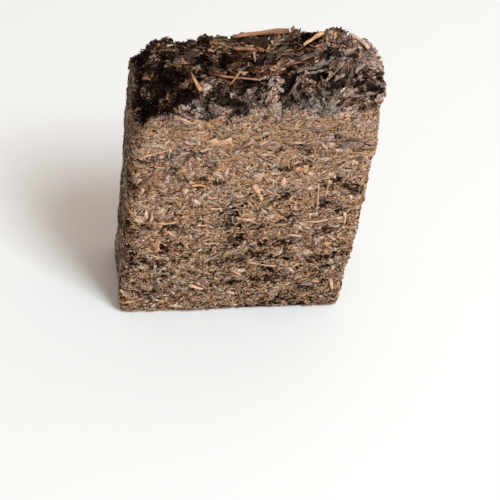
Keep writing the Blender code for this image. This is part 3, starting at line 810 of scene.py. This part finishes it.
def cast_of(rng, spots, p, up, dark):
    """Shift of each leaf's hue, warm or cool, and the dimmer, warmer light of the left side."""
    count = len(spots.broken)
    west = np.clip(-spots.normal[:, 0], 0, 1)
    warm = lattice_noise(p * np.array([0.13, 0.13, 0.26]), 62)
    patchy = lattice_noise(p * np.array([0.36, 0.36, 0.72]), 63)
    left = (west * (0.36 + 0.22 * up))[:, None] * np.array([1.17, 0.97, 0.84])
    cast = 0.20 * rng.normal(0, 1, count) + 0.25 * warm + 0.25 * patchy - 0.30 * dark
    cast = (cast * (1 - 0.25 * spots.broken) * (1 - 0.55 * west))[:, None]
    green = 0.17 * cast + 0.05 * np.abs(cast) - 0.01 - spots.broken[:, None] * (0.10 * cast + 0.02)
    hue = np.concatenate([0.50 * cast, green, -0.50 * cast], axis=1)
    return np.exp(hue + rng.normal(0, 0.025, (count, 3))) - left


def leaf_hue(tints, broken, most):
    """Tints in which darker leaf is redder and lighter leaf is greyer, none of them colder than grey."""
    tone = np.maximum(tints @ LUMA, 0.002) / (0.2 - 0.06 * broken)
    tints = soft_limit(tints * tone[:, None] ** np.array([0.0, 0.12, 0.26]), most)
    coldest = np.array([1.0, 0.90, 0.82]) - tints[:, 1:2] * np.array([0.0, 0.12, 0.36])
    coldest = coldest - broken[:, None] * np.array([0.0, 0.05, 0.0])
    return np.minimum(tints, tints[:, :1] * coldest)


def mottle_of(spots):
    """Spread of the tone over one piece: more of it lower down."""
    return 1.0 - spots.place[:, 2:3] / TALL


def soft_limit(tints, most=0.8):
    """Tints no lighter than pale wood, of the same hue as before."""
    return np.maximum(tints / np.maximum(tints.max(axis=-1, keepdims=True) / most, 1), 0.003)


def patched(rng, spots, tints):
    """Tints of the break, most of them changed to the patch's colour inside a patch."""
    for first, second, reach, colour in BREAK_PATCHES:
        near = 0.9 * smooth(1.6 * near_lines(spots.place[:, :2] / MM, ((first, second, reach),)))
        inside = rng.random(len(tints)) < near
        tints = np.where(inside[:, None], np.array(colour), tints)
    return tints


def face_light(spots):
    """Tone of the faces: darker in the pits by painted shade, darker in some layers, brighter leaf towards
    the foot.
    """
    layer = lattice_noise(layer_point(spots.place) * np.array([0.03, 0.03, 0.14]), 31)
    patch = lattice_noise(layer_point(spots.place) * np.array([0.12, 0.12, 0.25]), 32)
    low = 1.46 + 0.50 * (1 - spots.place[:, 2] / TALL) ** 2
    return (1 - 0.7 * spots.pit) * (1 + 0.04 * layer + 0.04 * patch) * low


def break_light(spots):
    """Tone of the break: near black at the left, browner at the right, partly the leaves' own colour and
    partly painted shade over the left, in patches.
    """
    right = spots.place[:, 0] / HALF[0]
    patch = lattice_noise(spots.place / MM * 0.10, 33)
    return (1.13 + 0.19 * smooth(right * 0.6 + 0.55)) * (1 + 0.5 * patch) * (1 - 0.5 * rim_share(spots.place))


# Materials

def new_material(name, roughness, specular):
    material = bpy.data.materials.new(name)
    material.use_nodes = True
    shader = material.node_tree.nodes["Principled BSDF"]
    shader.inputs["Roughness"].default_value = roughness
    shader.inputs["Specular IOR Level"].default_value = specular
    return material, material.node_tree, shader


def add_node(tree, kind, **inputs):
    """A new shader node with its inputs set; From_Min stands for the input From Min."""
    node = tree.nodes.new("ShaderNode" + kind)
    for name, value in inputs.items():
        node.inputs[name.replace("_", " ")].default_value = value
    return node


def add_tint(tree):
    tint = add_node(tree, "Attribute")
    tint.attribute_name = "tint"
    return tint.outputs["Color"]


def weighted(tree, kind, value, weight):
    """A Math node of a kind with the value and its weight as its first two inputs."""
    node = add_node(tree, "Math")
    node.operation = kind
    node.inputs[1].default_value = weight
    tree.links.new(value, node.inputs[0])
    return node


def shade_with(tree, shader, noise, tones, roughness, bump_height):
    """Drives colour, roughness and bump of a shader by a noise; tones and roughness are (low, high)."""
    link = tree.links.new
    tone = add_node(tree, "MapRange", From_Min=0.32, From_Max=0.68, To_Min=tones[0], To_Max=tones[1])
    shade = add_node(tree, "VectorMath")
    shade.operation = "SCALE"
    rough = add_node(tree, "MapRange", To_Min=roughness[0], To_Max=roughness[1])
    bump = add_node(tree, "Bump", Strength=0.9, Distance=bump_height)
    link(noise, tone.inputs["Value"])
    link(noise, rough.inputs["Value"])
    link(noise, bump.inputs["Height"])
    link(add_tint(tree), shade.inputs[0])
    link(tone.outputs["Result"], shade.inputs["Scale"])
    link(shade.outputs["Vector"], shader.inputs["Base Color"])
    link(rough.outputs["Result"], shader.inputs["Roughness"])
    link(bump.outputs["Normal"], shader.inputs["Normal"])


def leaf_material(name):
    """Leaf tissue: the piece's own tint, streaked along its length, with fibres in relief."""
    roughness, specular, streak, bump_height, stretch = LEAF_LOOKS[name]
    material, tree, shader = new_material(name, roughness, specular)
    grain = add_node(tree, "UVMap")
    grain.uv_map = "grain"
    mapping = add_node(tree, "Mapping", Scale=(stretch, 1, 1))
    fibres = add_node(tree, "TexNoise", Scale=1.7, Detail=4)
    tree.links.new(grain.outputs["UV"], mapping.inputs["Vector"])
    tree.links.new(mapping.outputs["Vector"], fibres.inputs["Vector"])
    rough = roughness - 0.12, min(1.0, roughness + 0.12)
    shade_with(tree, shader, fibres.outputs["Fac"], (1 - streak, 1 + streak), rough, bump_height)
    return material


def core_material():
    """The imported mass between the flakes: crumbs of leaf pressed together, near black on the break."""
    material, tree, shader = new_material("packed_leaf", 0.9, 0.02)
    link = tree.links.new
    coordinates = add_node(tree, "TexCoord")
    mapping = add_node(tree, "Mapping", Scale=CRUMBS_PER_METRE)
    crumbs = add_node(tree, "TexVoronoi", Scale=1)
    grain = add_node(tree, "TexNoise", Scale=1.6, Detail=4, Roughness=0.65)
    parts = add_node(tree, "SeparateColor")
    link(coordinates.outputs["Object"], mapping.inputs["Vector"])
    link(mapping.outputs["Vector"], crumbs.inputs["Vector"])
    link(mapping.outputs["Vector"], grain.inputs["Vector"])
    link(crumbs.outputs["Color"], parts.inputs["Color"])
    fine = weighted(tree, "MULTIPLY", grain.outputs["Fac"], 0.55)
    mixed = weighted(tree, "MULTIPLY_ADD", parts.outputs["Red"], 0.45)
    link(fine.outputs["Value"], mixed.inputs[2])
    shade_with(tree, shader, mixed.outputs["Value"], (0.02, 2.4), (0.8, 0.98), 0.0006)
    return material


# Operators

class TEA_OT_core(bpy.types.Operator):
    """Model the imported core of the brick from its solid, with pits and fine relief"""
    bl_idname = "tea.make_core"
    bl_label = "Packed Core"

    def execute(self, context):
        settings = context.scene.tea_brick
        core = bpy.data.objects.new("packed_core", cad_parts[NODE].data.copy())
        mesh = core.data
        mesh.name = "packed_core"
        context.scene.collection.objects.link(core)
        mesh.materials.clear()
        remesh_evenly(core, settings.core_cell)
        lie = lie_normals(core)
        apply_modifier(core, "SMOOTH", factor=0.5, iterations=3)
        mesh = core.data
        points, _ = mesh_arrays(mesh)
        broken, worn_and_sheen = broken_share(points, lie), shoulder_share(points)
        pit = pit_field(points) * (1 - broken) + fold_field(points) * broken
        points = points + vectors_of(mesh.vertices, "normal") * relief(settings, points, broken, worn_and_sheen, pit)
        points[:, 2] = np.maximum(points[:, 2], 0)
        mesh.vertices.foreach_set("co", points.reshape(-1).astype(np.float32))
        mesh.update()
        write_field(mesh, "broken", broken[:, None])
        write_field(mesh, "pit", pit[:, None])
        write_field(mesh, "lie", lie)
        set_tint(mesh, core_tints(points, lie, broken, worn_and_sheen, pit))
        box_uv(mesh, "OFBake")
        mesh.materials.append(core_material())
        finish(core)
        return {"FINISHED"}


def relief(settings, points, broken, worn_and_sheen, pit):
    """How far each point of the core moves out: fine relief, less its pit or fold; still at the foot."""
    p = layer_point(points)
    face = lattice_noise(p * np.array([0.6, 0.6, 1.0]), 11) + 0.6 * lattice_noise(p * 1.5, 12)
    depth = settings.pit_depth * (1 - broken) + settings.fold_depth * broken * (1 - 0.4 * worn_and_sheen)
    push = settings.grain_depth * face - depth * (pit - 0.4 * broken)
    free = smooth((points[:, 2] - 0.0004) / 0.002)
    return (push * free)[:, None]


def core_tints(points, lie, broken, worn_and_sheen, pit):
    """Brown faces, darker on the left by painted shade, greyer shoulders where the break shows wear, their
    grey partly the leaves' own and partly painted sheen, and a near black break; darkest in the pits and
    folds by painted shade.
    """
    rise = 0.98 + 0.20 * points[:, 2] / TALL
    broken_tint = CORE_GREY * worn_and_sheen[:, None] + CORE_BLACK * (1 - worn_and_sheen)[:, None]
    # Painted shade on the left side, which faces away from the window.
    left = 0.40 * np.clip(-lie[:, 0], 0, 1)
    tint = CORE_BROWN * (rise * (1 - broken) * (1 - left))[:, None] + broken_tint * broken[:, None]
    # Painted shade: darkest in the pits of the faces and the folds of the break.
    return tint * (1 - (0.94 - 0.12 * broken * (1 - worn_and_sheen)) * pit)[:, None]


def remesh_evenly(obj, cell):
    """Welds the solid's loose triangles and remeshes it in even cells."""
    only(obj)
    bpy.ops.object.mode_set(mode="EDIT")
    bpy.ops.mesh.select_all(action="SELECT")
    bpy.ops.mesh.remove_doubles(threshold=1e-6)
    bpy.ops.object.mode_set(mode="OBJECT")
    apply_modifier(obj, "REMESH", mode="VOXEL", voxel_size=cell)


def lie_normals(core):
    """Normals of the brick's form without its loose leaves, from a well smoothed copy."""
    plain = core.copy()
    plain.data = core.data.copy()
    bpy.context.scene.collection.objects.link(plain)
    apply_modifier(plain, "SMOOTH", factor=0.5, iterations=40)
    normals = vectors_of(plain.data.vertices, "normal")
    bpy.data.objects.remove(plain)
    return normals


def broken_share(points, lie):
    """1 on the broken end, 0 on the pressed faces, with an uneven border between them."""
    wander = 0.10 * lattice_noise(points / MM * 0.12, 21) + 0.10 * lattice_noise(points / MM * 0.5, 22)
    high = smooth((points[:, 2] - BREAK_FOOT) / BREAK_FADE)
    inward = (HALF[:2] - np.abs(points[:, :2])).min(axis=1)
    return np.maximum(smooth((lie[:, 2] + wander - 0.25) * 3.0), smooth((inward - 4 * MM) / (4 * MM))) * high


class TEA_OT_flakes(bpy.types.Operator):
    """Press leaf flakes into the faces, along the layers"""
    bl_idname = "tea.flakes"
    bl_label = "Flakes"

    def execute(self, context):
        rng, count, spots = sown(context, "flakes", on_faces)
        shape = leaf_shape(2, 1)
        plate = rng.random(count) < 0.15 + 0.22 * smooth(spots.place[:, 2] / TALL)
        length = np.where(plate, sizes_of(rng, count, *PLATE_LENGTHS), sizes_of(rng, count, *FLAKE_LENGTHS))
        length = length * edge_room(spots.normal)
        width = (length * rng.uniform(0.28, 0.62, count)).clip(0.45 * MM, 2.8 * MM)
        thick = between(rng, count, FLAKE_THICKNESS)
        curl, twist = rng.normal(0, 0.25, count), rng.normal(0, 0.4, count) * (1 - 0.8 * plate)
        local = torn(shape, rng, length, width, thick, curl, twist, np.zeros(count))
        rough = roughness_of(spots) * (1 - 0.7 * plate)
        frames = loose_frames(rng, spots, spread=0.8, loose=0.25, pitch=0.14, bank=0.5, rough=rough)
        lift = (rng.uniform(-0.15, 0.35, count) + 0.15 * plate) * MM - clearance(spots)
        points = laid(local, frames, spots, lift, cap=0.55 * MM)
        scale = np.column_stack([length, width])
        add_scatter("flakes", shape, points, spot_tints(rng, spots, spread=0.3), scale,
                    leaf_material("flake"), mottle=mottle_of(spots))
        return {"FINISHED"}


class TEA_OT_bits(bpy.types.Operator):
    """Scatter broken bits of leaf over the whole brick"""
    bl_idname = "tea.bits"
    bl_label = "Bits"

    def execute(self, context):
        rng, count, spots = sown(context, "bits", more_on_faces)
        shape = lump_shape()
        size = between(rng, count, BIT_SIZES)
        ratio = [rng.uniform(1.0, 2.0, count), rng.uniform(0.6, 1.1, count), rng.uniform(0.3, 0.7, count)]
        rough = roughness_of(spots)
        frames = loose_frames(rng, spots, spread=0.8, loose=0.4, pitch=0.3, bank=0.7, rough=rough)
        lift = rng.uniform(0.0, 0.5, count) * MM * (1 + spots.broken) * rough - clearance(spots)
        local = chipped(shape, rng, size[:, None] * np.column_stack(ratio))
        points = laid(local, frames, spots, lift, cap=0.8 * MM)
        scale = np.column_stack([size, size])
        add_scatter("bits", shape, points, spot_tints(rng, spots, spread=0.45), scale,
                    leaf_material("bit"), mottle=mottle_of(spots))
        return {"FINISHED"}


class TEA_OT_fibres(bpy.types.Operator):
    """Press thin fibres and veins into the whole brick"""
    bl_idname = "tea.fibres"
    bl_label = "Fibres"

    def execute(self, context):
        rng, count, spots = sown(context, "fibres", on_all)
        shape = stick_shape(3, 2)
        length = sizes_of(rng, count, *FIBRE_LENGTHS) * edge_room(spots.normal)
        radius = between(rng, count, FIBRE_RADII)
        local = bowed(shape, rng, length, radius, rng.normal(0, 0.15, count) * MM)
        frames = rolled_frames(rng, spots, loose=0.25, pitch=0.12)
        rise = rng.uniform(0.05, 0.5, count) * MM * (1 + spots.broken) * roughness_of(spots)
        points = laid(local, frames, spots, rise - clearance(spots), cap=0.8 * MM)
        scale = np.column_stack([length, radius * 2])
        add_scatter("fibres", shape, points, spot_tints(rng, spots, spread=0.42) * 1.06, scale,
                    leaf_material("fibre"), mottle=mottle_of(spots))
        return {"FINISHED"}


class TEA_OT_leaves(bpy.types.Operator):
    """Lay larger leaves over the break, and the leaf chips that can be told apart"""
    bl_idname = "tea.leaves"
    bl_label = "Leaves"

    def execute(self, context):
        rng, count, spots = sown(context, "leaves", on_break)
        shape = leaf_shape(6, 2)
        length = sizes_of(rng, count, *LEAF_LENGTHS) * edge_room(spots.normal) * room_across(spots.place)
        loose = 1 - 0.55 * shoulder_share(spots.place)
        width = (length * rng.uniform(0.28, 0.55, count) / loose ** 0.7).clip(0.9 * MM, 3.2 * MM)
        local = torn(shape, rng, length, width, between(rng, count, LEAF_THICKNESS),
                     rng.normal(0, 0.45, count) * loose, rng.normal(0, 0.4, count) * loose,
                     rng.normal(0, 0.7, count).clip(-1, 1) * loose)
        frames = loose_frames(rng, spots, spread=0.4, loose=0.12, pitch=0.14, bank=0.4, rough=loose)
        lift = rng.uniform(-0.2, 1.0, count) * MM * loose - clearance(spots)
        points = laid(local, frames, spots, lift, cap=1.3 * MM)
        tints = soft_limit(spot_tints(rng, spots, spread=0.4, matted=True), most=0.45)
        scale = np.column_stack([length, width])
        both = [np.concatenate(pair) for pair in zip((points, tints, scale), chips_laid(rng, shape))]
        # The leaves' long edges get a painted highlight.
        add_scatter("leaves", shape, *both, leaf_material("torn_leaf"), mottle=0.2, rim_highlight=0.6)
        return {"FINISHED"}


class TEA_OT_shreds(bpy.types.Operator):
    """Lay narrow twisted leaves over the break"""
    bl_idname = "tea.shreds"
    bl_label = "Shreds"

    def execute(self, context):
        rng, count, spots = sown(context, "shreds", on_top)
        shape = leaf_shape(5, 1)
        length = sizes_of(rng, count, *SHRED_LENGTHS) * edge_room(spots.normal) * room_across(spots.place)
        width = between(rng, count, SHRED_WIDTHS)
        local = torn(shape, rng, length, width, between(rng, count, SHRED_THICKNESS),
                     rng.normal(0, 0.3, count), rng.normal(0, 0.6, count), np.zeros(count))
        frames = loose_frames(rng, spots, spread=0.5, loose=0.15, pitch=0.16, bank=0.6)
        lift = rng.uniform(0.0, 1.0, count) * MM - clearance(spots)
        points = laid(local, frames, spots, lift, cap=1.4 * MM)
        tints = spot_tints(rng, spots, spread=0.4, matted=True)
        scale = np.column_stack([length, width])
        add_scatter("shreds", shape, points, tints, scale, leaf_material("shred"), mottle=0.3)
        return {"FINISHED"}


class TEA_OT_stems(bpy.types.Operator):
    """Lay the orange and tan stems, the larger ones in their own places"""
    bl_idname = "tea.stems"
    bl_label = "Stems"

    def execute(self, context):
        rng, count, spots = sown(context, "stems", on_all)
        shape = stick_shape(8, 6)
        length = sizes_of(rng, count, *STEM_LENGTHS) * edge_room(spots.normal)
        radius = between(rng, count, STEM_RADII)
        local = bowed(shape, rng, length, radius, rng.normal(0, 0.25, count) * MM)
        frames = rolled_frames(rng, spots, loose=0.3, pitch=0.08)
        lift = rng.uniform(0.05, 0.45, count) * MM * (1 + spots.broken)
        points = laid(local, frames, spots, lift, cap=1.0 * MM)
        tints = drawn(rng, STEM_PALETTE, np.zeros(count)) * np.exp(rng.normal(-0.2, 0.3, (count, 1)))
        tints = tints * (1 - 0.45 * spots.broken)[:, None]
        scale = np.column_stack([length, 3 * radius])
        both = [np.concatenate(pair) for pair in zip((points, tints, scale), twigs_laid(rng, shape))]
        add_scatter("stems", shape, *both, leaf_material("bark"), mottle=0.28)
        return {"FINISHED"}


def near_named(place, lie):
    """1 on the stems and chips that have places of their own, falling to 0 beside them."""
    breaks = [(first, second, radius + 1.3) for first, second, radius, _ in BREAK_TWIGS]
    breaks += [(first, second, width / 2 + 0.8) for first, second, width, _ in BREAK_CHIPS]
    fronts = [(first, second, radius + 0.8) for first, second, radius, _ in FRONT_TWIGS]
    fronts += [(first, second, width / 2 + 0.5) for first, second, width, _ in FRONT_CHIPS]
    above = near_lines(place[:, :2] / MM, breaks) * (lie[:, 2] > 0.3)
    before = near_lines(place[:, [0, 2]] / MM, fronts) * (lie[:, 1] < -0.6)
    return np.maximum(above, before)


def clearance(spots):
    """How far scattered pieces sink beside the stems and chips that have places of their own."""
    depth = np.where(spots.normal[:, 2] > 0.3, 1.3, 0.7) * MM
    return depth * smooth(2 * near_named(spots.place, spots.normal))


def top_near(surface, x, y):
    """The point over x, y in mm at the greatest height that the surface has within a millimetre of it."""
    x, y = x * MM, y * MM
    hits = [surface.ray_cast(Vector((x + a * MM, y + b * MM, 0.4)), Vector((0, 0, -1)))[0]
            for a in (-1, 0, 1) for b in (-1, 0, 1)]
    return x, y, max(hit.z for hit in hits if hit)


def front_at(surface, x, z):
    """The front's point at x, z in mm."""
    return surface.ray_cast(Vector((x * MM, -0.3, z * MM)), Vector((0, 1, 0)))[0]


def rise_over(surface, first, second, out):
    """How far the surface rises over the straight line between two points on it."""
    rise = 0.0
    for share in (0.15, 0.3, 0.45, 0.6, 0.75, 0.9):
        place = Vector(first).lerp(Vector(second), share)
        hit = surface.ray_cast(place + out * 0.1, -out)[0]
        rise = max(rise, (hit - place).dot(out))
    return rise


def laid_between(breaks, fronts):
    """Spots, frames, lengths, sizes and colours of the pieces that are placed one by one on the core, and how
    far each must be lifted to lie over it."""
    core = bpy.data.objects["packed_core"]
    surface = BVHTree.FromObject(core, bpy.context.evaluated_depsgraph_get())
    rows = []
    for group, find, out in ((breaks, top_near, (0, 0, 1)), (fronts, front_at, (0, -1, 0))):
        for first, second, _, _ in group:
            rows.append((find(surface, *first), find(surface, *second), Vector(out)))
    rises = np.array([rise_over(surface, *row) for row in rows])
    first, second, out = (np.array(column, dtype=float) for column in zip(*rows))
    along = unit(second - first)
    across = unit(np.cross(out, along))
    frames = np.stack([along, across, np.cross(along, across)], axis=2)
    size = np.array([row[2] for row in breaks + fronts]) * MM
    tints = np.array([row[3] for row in breaks + fronts])
    spots = Spots((first + second) / 2, out, np.zeros(len(size)), np.zeros(len(size)))
    return spots, frames, np.linalg.norm(second - first, axis=1), size, tints, rises


def twigs_laid(rng, shape):
    spots, frames, length, radius, tints, rises = laid_between(BREAK_TWIGS, FRONT_TWIGS)
    bow = np.full(len(length), 0.3 * MM)
    local = bowed(shape, rng, length, radius * 1.15, bow, flatness=(0.75, 0.95), narrowing=(0.35, 0.6))
    lift = 0.3 * radius + np.where(spots.normal[:, 2] > 0.5, 0.35, 0.1) * MM + 0.25 * rises.clip(0, 3 * MM)
    return laid(local, frames, spots, lift), tints, np.column_stack([length, 3 * radius])


def chips_laid(rng, shape):
    spots, frames, length, width, tints, rises = laid_between(BREAK_CHIPS, FRONT_CHIPS)
    high = spots.normal[:, 2] > 0.5
    curl, twist, fold = (np.where(high, *pair) for pair in ((0.25, 0.03), (0.35, 0.05), (0.7, 0.03)))
    local = torn(shape, rng, length * 1.1, width * 1.15, np.full(len(length), 0.35 * MM), curl, twist, fold)
    lift = np.where(high, 0.5, 0.45) * MM + 0.6 * rises.clip(0, 2 * MM)
    return laid(local, frames, spots, lift), tints, np.column_stack([length, width])


class TEA_OT_stage(bpy.types.Operator):
    """Set the pale floor, the window light and the camera"""
    bl_idname = "tea.set_stage"
    bl_label = "Stage"

    def execute(self, context):
        settings = context.scene.tea_studio
        make_floor()
        make_lights(settings)
        make_camera(settings)
        context.scene.view_settings.view_transform = "Standard"
        return {"FINISHED"}


def make_floor():
    bpy.ops.object.select_all(action="DESELECT")
    bpy.ops.mesh.primitive_plane_add(size=FLOOR_SIZE)
    floor = bpy.context.object
    floor.name = "floor"
    material, tree, shader = new_material("pale_paper", 0.9, 0.2)
    coordinates = add_node(tree, "TexCoord")
    fleck = add_node(tree, "TexNoise", Scale=900)
    ramp = add_node(tree, "MapRange", To_Min=FLOOR_TONES[0], To_Max=FLOOR_TONES[1])
    tone = add_node(tree, "CombineColor")
    tree.links.new(coordinates.outputs["Object"], fleck.inputs["Vector"])
    tree.links.new(fleck.outputs["Fac"], ramp.inputs["Value"])
    for channel in ("Red", "Green", "Blue"):
        tree.links.new(ramp.outputs["Result"], tone.inputs[channel])
    tree.links.new(tone.outputs["Color"], shader.inputs["Base Color"])
    floor.data.materials.append(material)


def view_frame(azimuth, elevation):
    """Right, up and back vectors of a view from this azimuth, counted from the front, and elevation."""
    level = math.cos(elevation)
    back = Vector((math.sin(azimuth) * level, -math.cos(azimuth) * level, math.sin(elevation)))
    right = Vector((0, 0, 1)).cross(back).normalized()
    return right, back.cross(right), back


def make_room(ambient):
    """The light of the room, weaker from the left, where the wall is far away."""
    world = bpy.data.worlds.new("room")
    world.use_nodes = True
    tree = world.node_tree
    background = tree.nodes["Background"]
    background.inputs["Color"].default_value = ROOM_COLOUR
    coordinates = add_node(tree, "TexCoord")
    split = add_node(tree, "SeparateXYZ")
    low, high = (share * ambient for share in ROOM_SIDES)
    side = add_node(tree, "MapRange", From_Min=-1, To_Min=low, To_Max=high)
    tree.links.new(coordinates.outputs["Generated"], split.inputs["Vector"])
    tree.links.new(split.outputs["X"], side.inputs["Value"])
    tree.links.new(side.outputs["Result"], background.inputs["Strength"])
    bpy.context.scene.world = world


def make_lights(settings):
    make_room(settings.ambient)
    axes = view_frame(settings.key_azimuth, settings.key_elevation)
    lamp = bpy.data.lights.new("window", "AREA")
    lamp.shape = "RECTANGLE"
    lamp.size, lamp.size_y = WINDOW_SIZE
    lamp.energy = settings.key_power
    lamp.color = WINDOW_COLOUR
    window = bpy.data.objects.new("window", lamp)
    bpy.context.scene.collection.objects.link(window)
    place = Vector(WINDOW_AIM) + axes[2] * WINDOW_DISTANCE
    window.matrix_world = Matrix.Translation(place) @ Matrix(axes).transposed().to_4x4()


def make_camera(settings):
    right, up, back = view_frame(settings.azimuth, settings.elevation)
    c, s = math.cos(settings.roll), math.sin(settings.roll)
    axes = (c * right + s * up, c * up - s * right, back)
    camera = bpy.data.cameras.new("camera")
    camera.lens = settings.lens
    camera.sensor_width = FILM_WIDTH
    camera.clip_start = 0.01
    view = bpy.data.objects.new("camera", camera)
    bpy.context.scene.collection.objects.link(view)
    place = axes[0] * settings.shift[0] + axes[1] * settings.shift[1] + axes[2] * settings.distance
    view.matrix_world = Matrix.Translation(place) @ Matrix(axes).transposed().to_4x4()
    bpy.context.scene.camera = view


STEPS = (TEA_OT_core, TEA_OT_flakes, TEA_OT_bits, TEA_OT_fibres, TEA_OT_leaves, TEA_OT_shreds, TEA_OT_stems,
         TEA_OT_stage)


class TEA_PT_panel(bpy.types.Panel):
    """Panel with one button for each step"""
    bl_idname = "TEA_PT_panel"
    bl_label = "Tea Brick"
    bl_space_type = "VIEW_3D"
    bl_region_type = "UI"
    bl_category = "Tea Brick"

    def draw(self, context):
        for group in (context.scene.tea_brick, context.scene.tea_studio):
            for name in group.bl_rna.properties.keys():
                if name not in ("rna_type", "name"):
                    self.layout.prop(group, name)
        for step in STEPS:
            self.layout.operator(step.bl_idname)


CLASSES = (BrickSettings, StudioSettings) + STEPS + (TEA_PT_panel,)


def register():
    for cls in CLASSES:
        bpy.utils.register_class(cls)
    bpy.types.Scene.tea_brick = PointerProperty(type=BrickSettings)
    bpy.types.Scene.tea_studio = PointerProperty(type=StudioSettings)


def unregister():
    del bpy.types.Scene.tea_brick
    del bpy.types.Scene.tea_studio
    for cls in reversed(CLASSES):
        bpy.utils.unregister_class(cls)


def main():
    register()
    for step in STEPS:
        group, name = step.bl_idname.split(".")
        getattr(getattr(bpy.ops, group), name)()


if __name__ == "__main__":
    main()
